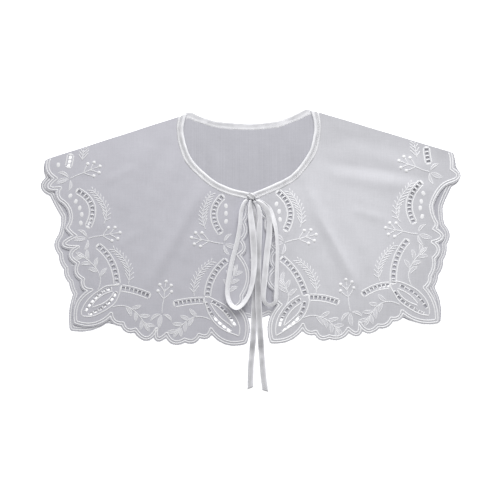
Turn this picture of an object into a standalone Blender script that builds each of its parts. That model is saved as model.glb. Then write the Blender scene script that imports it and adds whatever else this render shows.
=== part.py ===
"""Detachable lace collar, laid flat with its two front panels on its back panel and its neck ties in a bow.

The cloth is scalloped all round and has ladders of cutwork holes. Blender works in metres with +Z up.
The driving sizes and the tables below are in millimetres: X to the right and Y from the hem towards the
neck, both from the pattern's own zero, and Z up from the table it lies on. The finished pieces are moved so
that the middle of the collar without its hanging ties is the origin.
"""
from collections import namedtuple

import bmesh
import bpy
import numpy as np
from mathutils.geometry import delaunay_2d_cdt

# Driving sizes
MM = 0.001
CLOTH = 1.0
SEAM_GAP = 0.3
MARGIN = 3.4
EDGE_STEP = 5.0
EDGE_SHORTEST = 1.2
FINE_STEP = 1.0
NOTCH_SHARE = 0.97
CORNER_POINTS = 3
RELIEF_STEP = 8.0
RELIEF_LEAST = 0.15
HOLE_ACROSS = 4.3
HOLE_SHARE = 0.72
LADDER_POINTS = 200
BINDING_WIDTH = 8.4
BINDING_THICKNESS = 1.2
BINDING_STEP = 7.0
TIE_WIDTH = 7.5
TIE_THICKNESS = 1.0
TIE_STEP = 6.0
KNOT_SIZE = (9.0, 8.0, 5.6)
KNOT_CENTRE = (1.5, 35.6, 4.4)
KNOT_BEVEL = 1.4
SHOULDER_FADE = 30.0
FOLD_CLEARANCE = 1.0
FRONT_BASE = CLOTH + SEAM_GAP
BINDING_LIFT = 0.2
PLAN_MIDDLE = (0.57, -0.56)

# A scallop ends at x, y and bulges outwards from the chord to the scallop before it
Scallop = namedtuple("Scallop", "x y bulge")
# A ladder of square holes runs from its start through its middle to its end
Ladder = namedtuple("Ladder", "x0 y0 x_mid y_mid x1 y1 holes")
# A soft ridge of the cloth along a line
Fold = namedtuple("Fold", "x0 y0 x1 y1 height width")
# One station of a tie: its middle, its tilt in degrees and its share of the full width
Tie = namedtuple("Tie", "x y z tilt share")

# The line the collar is folded on: each shoulder, and the corner of the neck binding beside it
SHOULDER_LEFT_TIP = (-235.2, 78.1)
SHOULDER_LEFT_NECK = (-81.5, 127.6)
CORNER_LEFT = (-73.4, 133.0)
CORNER_RIGHT = (64.7, 136.9)
SHOULDER_RIGHT_NECK = (80.9, 131.9)
SHOULDER_RIGHT_TIP = (235.2, 85.4)

# From the shoulder down the side, along the hem and up the centre front
FRONT_LEFT = [
    Scallop(-232.3, 80.0, 0),
    Scallop(-224.8, 56.3, 5.8),
    Scallop(-220.1, 45.2, 11.6),
    Scallop(-219.5, 31.3, 2.9),
    Scallop(-207.4, 12.8, -2.9),
    Scallop(-212.0, -1.2, -1.4),
    Scallop(-202.1, -10.4, 0.6),
    Scallop(-199.2, -23.2, 15.6),
    Scallop(-199.2, -41.8, 8.7),
    Scallop(-193.4, -60.3, 5.2),
    Scallop(-183.6, -73.1, 5.1),
    Scallop(-202.1, -110.2, 7.5),
    Scallop(-161.0, -100.3, 7.0),
    Scallop(-147.5, -111.6, 4.2),
    Scallop(-132.8, -118.6, 4.6),
    Scallop(-108.4, -117.6, 10.6),
    Scallop(-96.8, -123.6, 9.9),
    Scallop(-75.9, -130.2, 6.4),
    Scallop(-59.5, -124.7, 4.4),
    Scallop(-45.5, -118.4, 5.0),
    Scallop(-6.7, -132.6, 7.6),
    Scallop(-16.0, -91.6, 7.0),
    Scallop(-10.7, -80.0, 2.5),
    Scallop(-14.2, -32.5, 9.3),
    Scallop(-11.9, -15.1, 5.8),
    Scallop(-8.4, 5.8, 4.6),
    Scallop(-4.9, 26.7, 2.9),
]
FRONT_RIGHT = [
    Scallop(231.0, 86.8, 0),
    Scallop(232.9, 67.3, 1.2),
    Scallop(231.1, 52.8, 8.7),
    Scallop(221.3, 47.0, -0.6),
    Scallop(209.1, 24.4, -1.7),
    Scallop(215.5, 4.6, -1.4),
    Scallop(212.6, -2.3, 1.2),
    Scallop(210.8, -17.4, 10.4),
    Scallop(212.0, -36.0, 6.4),
    Scallop(207.9, -56.8, 2.3),
    Scallop(201.6, -70.2, 2.3),
    Scallop(216.1, -108.5, 4.1),
    Scallop(176.0, -97.4, 5.2),
    Scallop(163.3, -106.0, 3.9),
    Scallop(148.2, -114.0, 3.6),
    Scallop(126.7, -111.3, 7.6),
    Scallop(113.4, -117.7, 9.7),
    Scallop(91.3, -126.4, 5.2),
    Scallop(76.3, -121.2, 4.6),
    Scallop(61.2, -113.1, 4.9),
    Scallop(25.2, -131.7, 6.3),
    Scallop(35.7, -90.5, 6.4),
    Scallop(31.0, -73.1, 4.0),
    Scallop(29.9, -47.6, 9.3),
    Scallop(29.9, -26.7, 5.8),
    Scallop(26.4, -8.1, 5.2),
    Scallop(20.6, 10.4, 4.6),
    Scallop(13.6, 25.5, 3.5),
]
# The back's left side, downwards
BACK_LEFT = [
    Scallop(-232.3, 80.0, 0),
    Scallop(-232.9, 56.8, 3.5),
    Scallop(-230.0, 38.9, 8.1),
    Scallop(-216.0, 12.8, 0.5),
    Scallop(-219.5, -10.4, -1.2),
    Scallop(-218.9, -31.3, 4.6),
    Scallop(-212.6, -47.6, 1.9),
    Scallop(-206.8, -63.8, 2.3),
    Scallop(-202.1, -77.7, 0.9),
    Scallop(-206.2, -117.2, 2.3),
    Scallop(-166.2, -107.3, 4.5),
]
# The back's right side, upwards
BACK_RIGHT = [
    Scallop(217.4, -107.6, 3.2),
    Scallop(209.7, -69.6, 3.5),
    Scallop(214.9, -53.9, 1.4),
    Scallop(220.1, -37.7, 1.9),
    Scallop(224.2, -19.7, 2.1),
    Scallop(222.4, 1.2, 4.6),
    Scallop(220.1, 24.4, -1.2),
    Scallop(231.1, 49.3, -0.6),
    Scallop(235.2, 68.4, 6.4),
    Scallop(231.5, 86.6, 0.9),
]
BACK_HEM_SCALLOPS = 11
BACK_HEM_END = (177.2, -101.6)
BACK_HEM_BULGE = 4.0
BACK_HEM_ARCH = 5.5

LADDERS_LEFT = [
    Ladder(-208.2, 83.4, -209.1, 77.1, -210.7, 69.6, 3),
    Ladder(-200.4, 41.8, -183.6, 24.4, -188.2, 0.0, 10),
    Ladder(-176.8, -22.0, -160.9, -40.6, -154.3, -66.1, 9),
    Ladder(-149.4, -70.8, -133.7, -74.0, -116.9, -80.0, 7),
    Ladder(-160.8, -71.4, -176.6, -79.5, -190.5, -97.4, 7),
    Ladder(-154.8, -75.4, -166.8, -90.2, -187.1, -101.5, 7),
    Ladder(-31.6, 35.4, -42.3, 15.7, -34.2, -7.0, 10),
    Ladder(-27.6, -38.9, -43.8, -58.0, -49.6, -80.6, 9),
    Ladder(-54.2, -85.3, -70.5, -86.2, -87.9, -89.3, 7),
    Ladder(-51.2, -87.4, -41.5, -105.0, -22.4, -121.0, 7),
    Ladder(-44.5, -86.4, -29.9, -97.4, -17.1, -114.3, 7),
]
LADDERS_RIGHT = [
    Ladder(204.1, 91.6, 205.0, 82.9, 206.8, 73.7, 4),
    Ladder(198.1, 51.6, 184.5, 29.0, 190.0, 4.6, 11),
    Ladder(182.4, -15.7, 169.1, -38.3, 165.9, -65.5, 10),
    Ladder(161.5, -67.9, 145.9, -70.2, 130.2, -78.3, 7),
    Ladder(167.0, -74.5, 179.5, -88.2, 201.0, -100.0, 7),
    Ladder(173.6, -68.3, 190.0, -77.1, 204.5, -94.0, 7),
    Ladder(31.6, 40.6, 46.1, 20.3, 40.9, -4.1, 11),
    Ladder(36.3, -36.5, 53.1, -54.5, 64.1, -78.9, 9),
    Ladder(68.7, -81.8, 85.0, -82.7, 101.8, -87.6, 7),
    Ladder(58.3, -84.1, 42.6, -96.3, 33.9, -114.8, 7),
    Ladder(62.8, -86.6, 56.8, -103.7, 37.6, -120.5, 7),
]
# The back repeats each front's shoulder ladder where it is, and its side and outer corner ladders moved,
# because the back doesn't lie quite under the fronts
BACK_LADDERS = 6
BACK_SHIFT_LEFT = (-4.1, -7.0)
BACK_SHIFT_RIGHT = (6.5, -0.8)

FOLDS = [
    Fold(-56.0, 44.0, -100.0, -32.0, 2.4, 10.0),
    Fold(-100.0, -32.0, -118.0, -66.0, 1.6, 8.0),
    Fold(74.0, 26.0, 122.0, -66.0, 3.0, 9.0),
    Fold(96.0, 88.0, 214.0, 70.0, 1.8, 8.0),
    Fold(98.0, 62.0, 208.0, 42.0, 2.2, 8.0),
    Fold(-120.0, 96.0, -150.0, 20.0, 1.4, 12.0),
]

# The middle line of the neck binding, across the back and down each front
NECK_BACK = [(-76.3, 128.4), (-70.5, 129.4), (-58.3, 124.1), (-35.1, 118.1), (-0.3, 115.8), (28.7, 118.3),
             (46.1, 123.8), (57.7, 128.8), (67.0, 133.2), (72.5, 134.6)]
NECK_LEFT = [(-77.6, 132.0), (-79.8, 124.5), (-81.5, 112.5), (-78.6, 95.1), (-71.1, 76.6), (-57.1, 61.5),
             (-41.5, 49.1), (-23.5, 41.0), (-5.0, 36.4)]
NECK_RIGHT = [(73.8, 136.4), (75.8, 130.0), (77.8, 120.0), (77.2, 105.0), (71.1, 84.1), (54.2, 61.1),
              (39.7, 51.0), (21.8, 42.9), (8.2, 37.2)]

TIE_LOOP_LEFT = [
    Tie(-3.4, 31.0, 6.0, 20, 0.40),
    Tie(-6.7, 27.8, 6.2, 50, 0.70),
    Tie(-10.4, 17.4, 6.3, 68, 1.0),
    Tie(-11.9, 1.2, 6.3, 68, 1.0),
    Tie(-15.4, -18.6, 6.2, 62, 1.0),
    Tie(-20.6, -38.3, 6.2, 60, 1.0),
    Tie(-24.6, -58.0, 6.2, 60, 1.0),
    Tie(-26.4, -76.6, 6.2, 62, 1.0),
    Tie(-22.9, -88.7, 6.3, 65, 1.0),
    Tie(-15.9, -93.4, 6.3, 68, 1.0),
    Tie(-8.4, -88.7, 6.6, 68, 1.0),
    Tie(-1.4, -77.1, 7.4, 65, 1.0),
    Tie(2.6, -62.6, 7.6, 55, 1.0),
    Tie(4.4, -44.1, 7.0, 30, 1.0),
    Tie(4.0, -24.4, 6.0, 5, 1.0),
    Tie(2.6, -4.6, 6.0, -10, 1.0),
    Tie(0.5, 13.9, 6.3, -30, 0.90),
    Tie(-0.2, 26.1, 6.4, -35, 0.55),
    Tie(0.4, 31.0, 6.2, -20, 0.36),
]
TIE_LOOP_RIGHT = [
    Tie(6.6, 30.4, 6.6, -20, 0.36),
    Tie(10.7, 29.0, 7.4, -32, 0.65),
    Tie(17.7, 22.0, 7.2, -38, 1.0),
    Tie(21.8, 10.4, 6.4, -38, 1.0),
    Tie(21.8, -9.3, 5.8, -35, 1.0),
    Tie(19.7, -26.7, 5.8, -45, 1.0),
    Tie(17.9, -45.2, 6.1, -58, 1.0),
    Tie(16.2, -62.6, 6.3, -66, 1.0),
    Tie(15.7, -77.7, 6.4, -70, 1.0),
    Tie(17.4, -87.9, 6.4, -72, 1.0),
    Tie(21.8, -90.5, 6.4, -70, 1.0),
    Tie(26.4, -83.4, 6.4, -66, 1.0),
    Tie(29.3, -68.4, 6.3, -64, 1.0),
    Tie(31.0, -49.9, 6.3, -68, 1.0),
    Tie(31.4, -29.0, 6.4, -74, 1.0),
    Tie(30.4, -8.1, 6.4, -74, 1.0),
    Tie(27.4, 7.0, 5.9, -60, 1.0),
    Tie(22.3, 19.7, 3.9, -20, 0.85),
    Tie(15.4, 27.3, 3.4, 0, 0.60),
    Tie(8.2, 31.2, 3.6, 0, 0.40),
]
TIE_TAIL_LEFT = [
    Tie(0.3, 31.0, 2.3, 0, 0.40),
    Tie(2.4, 25.0, 2.0, 0, 0.60),
    Tie(4.2, 15.0, 1.85, 0, 0.95),
    Tie(4.4, 2.3, 1.85, 0, 1.0),
    Tie(4.6, -20.9, 1.85, 0, 1.0),
    Tie(5.1, -44.1, 1.85, 0, 1.0),
    Tie(5.5, -67.3, 1.85, 0, 1.0),
    Tie(5.2, -88.2, 1.85, 0, 1.0),
    Tie(4.5, -104.0, 1.85, 0, 1.0),
    Tie(4.0, -114.0, 1.6, 0, 1.0),
    Tie(3.4, -128.0, 0.8, 0, 1.0),
    Tie(1.8, -148.5, 0.6, 0, 1.0),
    Tie(0.6, -163.6, 0.6, 0, 1.0),
    Tie(0.2, -187.0, 0.6, 0, 1.0),
]
TIE_TAIL_RIGHT = [
    Tie(3.4, 30.2, 3.9, 10, 0.36),
    Tie(7.3, 26.0, 4.7, -40, 0.65),
    Tie(10.3, 18.0, 6.1, -56, 1.0),
    Tie(11.1, 8.1, 6.0, -55, 1.0),
    Tie(10.2, -5.8, 4.9, -30, 1.0),
    Tie(9.3, -23.2, 3.7, -5, 1.0),
    Tie(9.0, -44.1, 3.3, 0, 1.0),
    Tie(9.0, -67.3, 3.3, 0, 1.0),
    Tie(9.6, -90.5, 3.3, 0, 1.0),
    Tie(10.7, -110.2, 3.2, 0, 1.0),
    Tie(11.8, -127.0, 2.0, 0, 1.0),
    Tie(12.8, -142.0, 0.8, 0, 1.0),
    Tie(14.0, -158.0, 0.6, 0, 1.0),
    Tie(15.4, -174.0, 0.6, 0, 1.0),
    Tie(17.5, -190.2, 0.6, 0, 1.0),
]


def smooth_path(rows, step):
    """Points of a Catmull-Rom curve through the rows, about one step apart, every column blended alike."""
    rows = np.array(rows, float)
    ends = np.vstack([2 * rows[0] - rows[1], rows, 2 * rows[-1] - rows[-2]])
    path = [rows[:1]]
    for before, a, b, after in zip(ends, ends[1:], ends[2:], ends[3:]):
        count = max(1, round(np.linalg.norm((b - a)[:2]) / step))
        t = (np.arange(1, count + 1) / count)[:, None]
        bend = (2 * before - 5 * a + 4 * b - after) * t**2 + (3 * (a - b) + after - before) * t**3
        path.append(a + 0.5 * ((b - before) * t + bend))
    return np.concatenate(path)


def stitched_line(rows, outward, step):
    """The scalloped stitching line: a parabola on each chord. Gives points and their outward directions."""
    points, normals = [], []
    for a, b in zip(rows, rows[1:]):
        chord = np.array([b.x - a.x, b.y - a.y])
        length = np.hypot(*chord)
        side = outward * np.array([chord[1], -chord[0]]) / length
        count = max(3, round((length + 2 * abs(b.bulge)) / step))
        t = np.linspace(0, 1, count + 1)[:, None]
        points.append((a.x, a.y) + chord * t + side * b.bulge * 4 * t * (1 - t))
        tangent = chord + side * b.bulge * 4 * (1 - 2 * t)
        normal = outward * np.stack([tangent[:, 1], -tangent[:, 0]], 1)
        normals.append(normal / np.linalg.norm(normal, axis=1)[:, None])
    return points, normals


def cut_edge(rows, outward, step):
    """The cloth's cut edge, one margin outside the stitching, rounded at corners and notched at cusps."""
    fine = np.concatenate(stitched_line(rows, outward, FINE_STEP)[0])
    points, normals = stitched_line(rows, outward, step)
    edge = []
    for number, (p, n) in enumerate(zip(points, normals)):
        edge.append(p + MARGIN * n)
        if number + 1 < len(points):
            turn = np.linspace(0, 1, CORNER_POINTS + 2)[1:-1, None]
            fan = n[-1] * (1 - turn) + normals[number + 1][0] * turn
            edge.append(p[-1] + MARGIN * fan / np.linalg.norm(fan, axis=1)[:, None])
    edge = np.concatenate(edge)
    nearest = np.sqrt(((edge[:, None] - fine[None]) ** 2).sum(2)).min(1)
    edge = edge[nearest > MARGIN * NOTCH_SHARE]
    kept = [edge[0]]
    for point in edge[1:]:
        if np.linalg.norm(point - kept[-1]) > EDGE_SHORTEST:
            kept.append(point)
    return np.array(kept)


def offset_path(path, distance):
    """A plan path moved sideways, to the right of its direction for a positive distance."""
    tangent = np.gradient(path, axis=0)
    tangent /= np.linalg.norm(tangent, axis=1)[:, None]
    return path + distance * np.stack([tangent[:, 1], -tangent[:, 0]], 1)


def ladder_holes(ladders):
    """Four corners for each hole, spaced evenly along each ladder's curve through its three points."""
    holes = []
    for row in ladders:
        start, middle, end = np.array(row[:6], float).reshape(3, 2)
        control = 2 * middle - (start + end) / 2
        t = np.linspace(0, 1, LADDER_POINTS)[:, None]
        curve = (1 - t) ** 2 * start + 2 * t * (1 - t) * control + t**2 * end
        travel = np.concatenate([[0], np.cumsum(np.linalg.norm(np.diff(curve, axis=0), axis=1))])
        pitch = travel[-1] / row.holes
        for number in range(row.holes):
            reach = pitch * (number + 0.5 + np.array([-0.5, 0.5]) * HOLE_SHARE)
            ends = np.stack([np.interp(reach, travel, curve[:, k]) for k in (0, 1)], 1)
            along = (ends[1] - ends[0]) / np.linalg.norm(ends[1] - ends[0])
            across = np.array([-along[1], along[0]]) * HOLE_ACROSS / 2
            holes.append(np.array([ends[0] - across, ends[1] - across, ends[1] + across, ends[0] + across]))
    return holes


def moved_ladders(ladders, shift):
    """The same ladders moved in plan."""
    return [Ladder(*np.add(row[:6], shift * 3), row.holes) for row in ladders]


def inside(points, polygon):
    """Which plan points lie inside a closed polygon, by counting the edges to their right."""
    a, b = polygon, np.roll(polygon, -1, axis=0)
    x, y = points[:, 0, None], points[:, 1, None]
    spans = (a[:, 1] > y) != (b[:, 1] > y)
    rise = np.where(b[:, 1] == a[:, 1], 1.0, b[:, 1] - a[:, 1])
    crossing = a[:, 0] + (y - a[:, 1]) * (b[:, 0] - a[:, 0]) / rise
    return (spans & (x < crossing)).sum(1) % 2 == 1


def shoulder_height(x):
    """Y of the folded shoulders and neck corners above a plan X."""
    left = (SHOULDER_LEFT_TIP, SHOULDER_LEFT_NECK, CORNER_LEFT)
    right = (CORNER_RIGHT, SHOULDER_RIGHT_NECK, SHOULDER_RIGHT_TIP)
    return np.interp(x, *zip(*left, *right))


def fold_relief(points):
    """Height of the soft folds: a bell across each fold's line, fading at its ends and at the shoulder."""
    height = np.zeros(len(points))
    for fold in FOLDS:
        start, end = np.array([fold.x0, fold.y0]), np.array([fold.x1, fold.y1])
        run = end - start
        share = np.clip(((points - start) @ run) / (run @ run), 0, 1)
        distance = np.linalg.norm(points - start - share[:, None] * run, axis=1)
        height = np.maximum(height, fold.height * np.exp(-((distance / fold.width) ** 2)))
    fade = np.clip((shoulder_height(points[:, 0]) - points[:, 1]) / SHOULDER_FADE, 0, 1)
    return height * fade * fade * (3 - 2 * fade)


def front_underside(points):
    """Z of a front panel's underside: it lies on the back and rises at its folds."""
    return FRONT_BASE + fold_relief(points)


def back_underside(points):
    """Z of the back's underside, which lies flat on the table."""
    return np.zeros(len(points))


def relief_points(outline, holes):
    """A staggered grid of plan points along a panel's soft folds, clear of its edges and holes."""
    low, high = outline.min(0), outline.max(0)
    rows = np.arange(low[1], high[1], RELIEF_STEP * 0.87)
    grid = np.array([(x + (k % 2) * RELIEF_STEP / 2, y) for k, y in enumerate(rows)
                     for x in np.arange(low[0], high[0], RELIEF_STEP)])
    grid = grid[inside(grid, outline) & (fold_relief(grid) > RELIEF_LEAST)]
    taken = np.concatenate([outline] + holes)
    clear = np.sqrt(((grid[:, None] - taken[None]) ** 2).sum(2)).min(1)
    return grid[clear > RELIEF_STEP / 3]


def new_object(name, points, faces, material):
    """A mesh object from points in millimetres."""
    mesh = bpy.data.meshes.new(name)
    moved = (np.asarray(points, float) - (*PLAN_MIDDLE, 0.0)) * MM
    mesh.from_pydata([tuple(p) for p in moved], [], faces)
    mesh.validate()
    mesh.update()
    mesh.materials.append(material)
    thing = bpy.data.objects.new(name, mesh)
    bpy.context.scene.collection.objects.link(thing)
    return thing


def cloth_panel(name, outline, ladders, underside, relief, material):
    """A wall of cloth: outline and holes triangulated in plan, then given a top, an underside and rims."""
    holes = ladder_holes(ladders)
    rings = [outline] + holes
    extra = relief_points(outline, holes) if relief else np.zeros((0, 2))
    plan = np.concatenate(rings + [extra])
    edges, first = [], 0
    for ring in rings:
        count = len(ring)
        edges += [(first + k, first + (k + 1) % count) for k in range(count)]
        first += count
    result = delaunay_2d_cdt([tuple(p) for p in plan], edges, [], 1, 1e-6)
    plan = np.array([tuple(v) for v in result[0]])
    triangles = np.array(result[2])
    middles = plan[triangles].mean(1)
    keep = inside(middles, outline)
    for hole in holes:
        near = np.abs(middles - hole.mean(0)).max(1) < HOLE_ACROSS
        keep[near] &= ~inside(middles[near], hole)
    triangles = triangles[keep]
    a, b, c = (plan[triangles[:, k]] for k in range(3))
    area = (b[:, 0] - a[:, 0]) * (c[:, 1] - a[:, 1]) - (b[:, 1] - a[:, 1]) * (c[:, 0] - a[:, 0])
    triangles[area < 0] = triangles[area < 0][:, ::-1]
    used = np.unique(triangles)
    place = np.full(len(plan), -1)
    place[used] = np.arange(len(used))
    plan, triangles = plan[used], place[triangles]
    low = underside(plan)
    points = np.concatenate([np.column_stack([plan, low]), np.column_stack([plan, low + CLOTH])])
    above = len(plan)
    sides = {(t[k], t[(k + 1) % 3]) for t in triangles.tolist() for k in range(3)}
    rims = sorted(side for side in sides if side[::-1] not in sides)
    faces = [t[::-1] for t in triangles.tolist()] + [[k + above for k in t] for t in triangles.tolist()]
    faces += [(a, b, b + above, a + above) for a, b in rims]
    return new_object(name, points, faces, material)


def ribbon(name, stations, width, thickness, material, trimmed=False):
    """A flat tape: a rectangle carried along stations of x, y, z, tilt and share of its width.

    A trimmed one is cut off at the line that the collar is folded on.
    """
    middle, tilt, share = stations[:, :3], np.radians(stations[:, 3]), stations[:, 4]
    ahead = np.gradient(middle, axis=0)
    ahead /= np.linalg.norm(ahead, axis=1)[:, None]
    side = np.cross(ahead, (0.0, 0.0, 1.0))
    side /= np.linalg.norm(side, axis=1)[:, None]
    up = np.cross(side, ahead)
    across = np.cos(tilt)[:, None] * side + np.sin(tilt)[:, None] * up
    out = np.cross(across, ahead)
    half = across * (share * width / 2)[:, None]
    depth = out * thickness / 2
    under, over = middle - depth, middle + depth
    corners = np.stack([under - half, under + half, over + half, over - half], 1)
    if trimmed:
        corners[:, :, 1] = np.minimum(corners[:, :, 1], shoulder_height(corners[:, :, 0]))
    last = len(stations) - 1
    faces = [[0, 1, 2, 3], [4 * last + k for k in (3, 2, 1, 0)]]
    for row in range(last):
        for k in range(4):
            here, there = 4 * row + k, 4 * row + (k + 1) % 4
            faces.append([here, here + 4, there + 4, there])
    return new_object(name, corners.reshape(-1, 3), faces, material)


def binding(name, neck, height, material):
    """A length of neck binding laid flat along its middle line at the height of what it lies on."""
    path = smooth_path(neck, BINDING_STEP)
    middle = height(path) + BINDING_THICKNESS / 2
    flat = np.zeros(len(path))
    stations = np.column_stack([path, middle, flat, flat + 1])
    return ribbon(name, stations, BINDING_WIDTH, BINDING_THICKNESS, material, trimmed=True)


def knot(name, material):
    """The tight knot: a small block with rounded edges."""
    place = (KNOT_CENTRE[0] - PLAN_MIDDLE[0], KNOT_CENTRE[1] - PLAN_MIDDLE[1], KNOT_CENTRE[2])
    shape = bmesh.new()
    bmesh.ops.create_cube(shape, size=1.0)
    for vertex in shape.verts:
        vertex.co = [(c * s + m) * MM for c, s, m in zip(vertex.co, KNOT_SIZE, place)]
    bevel = {"offset": KNOT_BEVEL * MM, "segments": 2, "affect": "EDGES", "profile": 0.5}
    bmesh.ops.bevel(shape, geom=shape.edges[:], **bevel)
    block = new_object(name, np.zeros((0, 3)), [], material)
    shape.to_mesh(block.data)
    shape.free()
    return block


def front_outline(rows, outward, neck, tip, fold_neck):
    """A front's plan: shoulder tip, cut edge round to the centre front, then up beside the binding."""
    edge = cut_edge(rows, outward, EDGE_STEP)
    edge = edge[edge[:, 1] < shoulder_height(edge[:, 0]) - FOLD_CLEARANCE]
    beside = offset_path(smooth_path(neck, BINDING_STEP), outward * (BINDING_WIDTH / 2 + SEAM_GAP))
    beside = beside[beside[:, 1] < shoulder_height(beside[:, 0]) - FOLD_CLEARANCE]
    along = np.array(fold_neck) - np.array(tip)
    reach = (beside[0] - np.array(tip)) @ along / (along @ along)
    return np.vstack([tip, edge, beside[::-1], np.array(tip) + reach * along])


def back_outline():
    """The back's plan: down its left side, along a regular hem, up its right side and under the binding."""
    hem = []
    start, end = BACK_LEFT[-1], BACK_HEM_END
    for number in range(1, BACK_HEM_SCALLOPS + 1):
        t = number / BACK_HEM_SCALLOPS
        x = start.x + (end[0] - start.x) * t
        y = start.y + (end[1] - start.y) * t + BACK_HEM_ARCH * 4 * t * (1 - t)
        hem.append(Scallop(x, y, BACK_HEM_BULGE))
    edge = cut_edge(BACK_LEFT + hem + BACK_RIGHT, 1, EDGE_STEP)
    edge = edge[edge[:, 1] < shoulder_height(edge[:, 0]) - FOLD_CLEARANCE]
    beside = offset_path(smooth_path(NECK_BACK, BINDING_STEP), BINDING_WIDTH / 2 + SEAM_GAP)
    shoulder = (SHOULDER_RIGHT_TIP, SHOULDER_RIGHT_NECK)
    return np.vstack([SHOULDER_LEFT_TIP, edge, *shoulder, beside[::-1], SHOULDER_LEFT_NECK])


def fabric(name, colour, roughness):
    """A plain woven material."""
    material = bpy.data.materials.new(name)
    material.use_nodes = True
    shader = material.node_tree.nodes["Principled BSDF"]
    shader.inputs["Base Color"].default_value = (*colour, 1.0)
    shader.inputs["Roughness"].default_value = roughness
    shader.inputs["Metallic"].default_value = 0.0
    return material


def build():
    """Make every piece of the collar."""
    for thing in list(bpy.data.objects):
        bpy.data.objects.remove(thing, do_unlink=True)
    voile = fabric("cotton_voile", (0.62, 0.63, 0.66), 0.85)
    satin = fabric("satin_tape", (0.84, 0.84, 0.85), 0.45)

    both = [LADDERS_LEFT[0], LADDERS_RIGHT[0]]
    both += moved_ladders(LADDERS_LEFT[1:BACK_LADDERS], BACK_SHIFT_LEFT)
    both += moved_ladders(LADDERS_RIGHT[1:BACK_LADDERS], BACK_SHIFT_RIGHT)
    cloth_panel("back_panel", back_outline(), both, back_underside, False, voile)
    left = front_outline(FRONT_LEFT, 1, NECK_LEFT, SHOULDER_LEFT_TIP, SHOULDER_LEFT_NECK)
    cloth_panel("front_left_panel", left, LADDERS_LEFT, front_underside, True, voile)
    right = front_outline(FRONT_RIGHT, -1, NECK_RIGHT, SHOULDER_RIGHT_TIP, SHOULDER_RIGHT_NECK)
    cloth_panel("front_right_panel", right, LADDERS_RIGHT, front_underside, True, voile)

    binding("binding_back", NECK_BACK, back_underside, satin)
    for name, neck in (("binding_front_left", NECK_LEFT), ("binding_front_right", NECK_RIGHT)):
        binding(name, neck, lambda path: front_underside(path) + BINDING_LIFT, satin)
    knot("tie_knot", satin)
    for name, rows in (("tie_loop_left", TIE_LOOP_LEFT), ("tie_loop_right", TIE_LOOP_RIGHT),
                       ("tie_tail_left", TIE_TAIL_LEFT), ("tie_tail_right", TIE_TAIL_RIGHT)):
        ribbon(name, smooth_path(rows, TIE_STEP), TIE_WIDTH, TIE_THICKNESS, satin)


build()
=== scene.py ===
"""The looks of a detachable lace collar: pierced and embroidered voile, a satin neck binding and ribbon ties.

The tables and the working sizes below are in millimetres on the pattern's own plan, X to the right and Y from
the hem towards the neck, with Z up from the table that the collar lies on. The sizes that a user would change
are properties in metres. Finished meshes are in metres, moved so that the middle of the plan is the origin.
"""

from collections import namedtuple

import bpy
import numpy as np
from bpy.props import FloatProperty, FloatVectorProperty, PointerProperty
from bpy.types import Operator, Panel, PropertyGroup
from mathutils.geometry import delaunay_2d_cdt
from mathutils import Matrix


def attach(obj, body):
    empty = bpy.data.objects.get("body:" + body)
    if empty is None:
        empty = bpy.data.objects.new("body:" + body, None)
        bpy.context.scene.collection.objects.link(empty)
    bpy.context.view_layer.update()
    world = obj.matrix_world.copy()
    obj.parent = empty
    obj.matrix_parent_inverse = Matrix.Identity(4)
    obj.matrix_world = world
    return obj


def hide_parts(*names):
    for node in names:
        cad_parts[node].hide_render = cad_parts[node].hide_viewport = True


bl_info = {
    "name": "Lace collar",
    "version": (1, 0, 0),
    "blender": (4, 5, 0),
    "location": "View3D > Sidebar > Collar",
    "description": "Dresses the solids of a lace collar as cloth, stitching and ribbon",
    "category": "Object",
}

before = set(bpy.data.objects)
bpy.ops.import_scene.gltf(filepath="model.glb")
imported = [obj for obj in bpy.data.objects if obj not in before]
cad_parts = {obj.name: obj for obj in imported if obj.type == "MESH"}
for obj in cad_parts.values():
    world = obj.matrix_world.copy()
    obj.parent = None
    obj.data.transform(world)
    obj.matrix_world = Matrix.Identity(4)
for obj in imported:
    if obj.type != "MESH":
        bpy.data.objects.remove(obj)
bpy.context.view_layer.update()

# Places, steps and shares, in millimetres where they are lengths
MM = 0.001
PLAN_MIDDLE = (0.57, -0.56)
MARGIN = 3.4
EDGE_SHORTEST = 0.7
FINE_STEP = 1.0
NOTCH_SHARE = 0.97
CORNER_POINTS = 3
HOLE_SHARE = 0.72
CORNER_SHARE = 0.75
LADDER_RISE = 0.65
BINDING_WIDTH = 8.4
SHOULDER_FADE = 30.0
HEM_REACH = 38.0
CREASE_END = 0.3
CREASE_TRACE = 0.02
BACK_RIPPLE = 0.5
EDGE_STEP = 1.7
NECK_STEP = 3.0
RIM_STEP = 2.4
BINDING_LAP = 2.0
GRID_CLEARANCE = 0.55
SHARP_DEGREES = 60
HOLE_POINTS = 12
HOLE_ROUND = 0.55
HOLE_NEAR = 6.0
FILLING_SHARE = 0.7
FILLING_RISE = 0.5
RIBBON_CROWN = 0.22
RIBBON_PLEAT = 0.9
CUT_REACH = 9.0
# How many points are worked on at once
PART_SIZE = 2000
FOLD_CLEARANCE = 0.4
KNOT_CENTRE = (1.5, 35.6, 4.4)
# The soft ribbon leans this share of the tilt that its solid has
TILT_SHARE = 0.74

# How the layers lie on each other, as heights of their undersides
BACK_BASE = 0.35
FRONT_BASE = 1.45

Scallop = namedtuple("Scallop", "x y bulge")
# The cords of a ladder are worked out beside it, or drawn in a table of their own
Ladder = namedtuple("Ladder", "x0 y0 x_mid y_mid x1 y1 holes cords")
Crease = namedtuple("Crease", "x0 y0 x1 y1 height width")
Tie = namedtuple("Tie", "x y z tilt share")
# A fern grows from its foot through its middle to its tip
Fern = namedtuple("Fern", "x0 y0 x_mid y_mid x1 y1 pairs")
Branch = namedtuple("Branch", "x0 y0 x_mid y_mid x1 y1 leaves")
Sprig = namedtuple("Sprig", "x y turn")
Dot = namedtuple("Dot", "x y turn")

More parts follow.
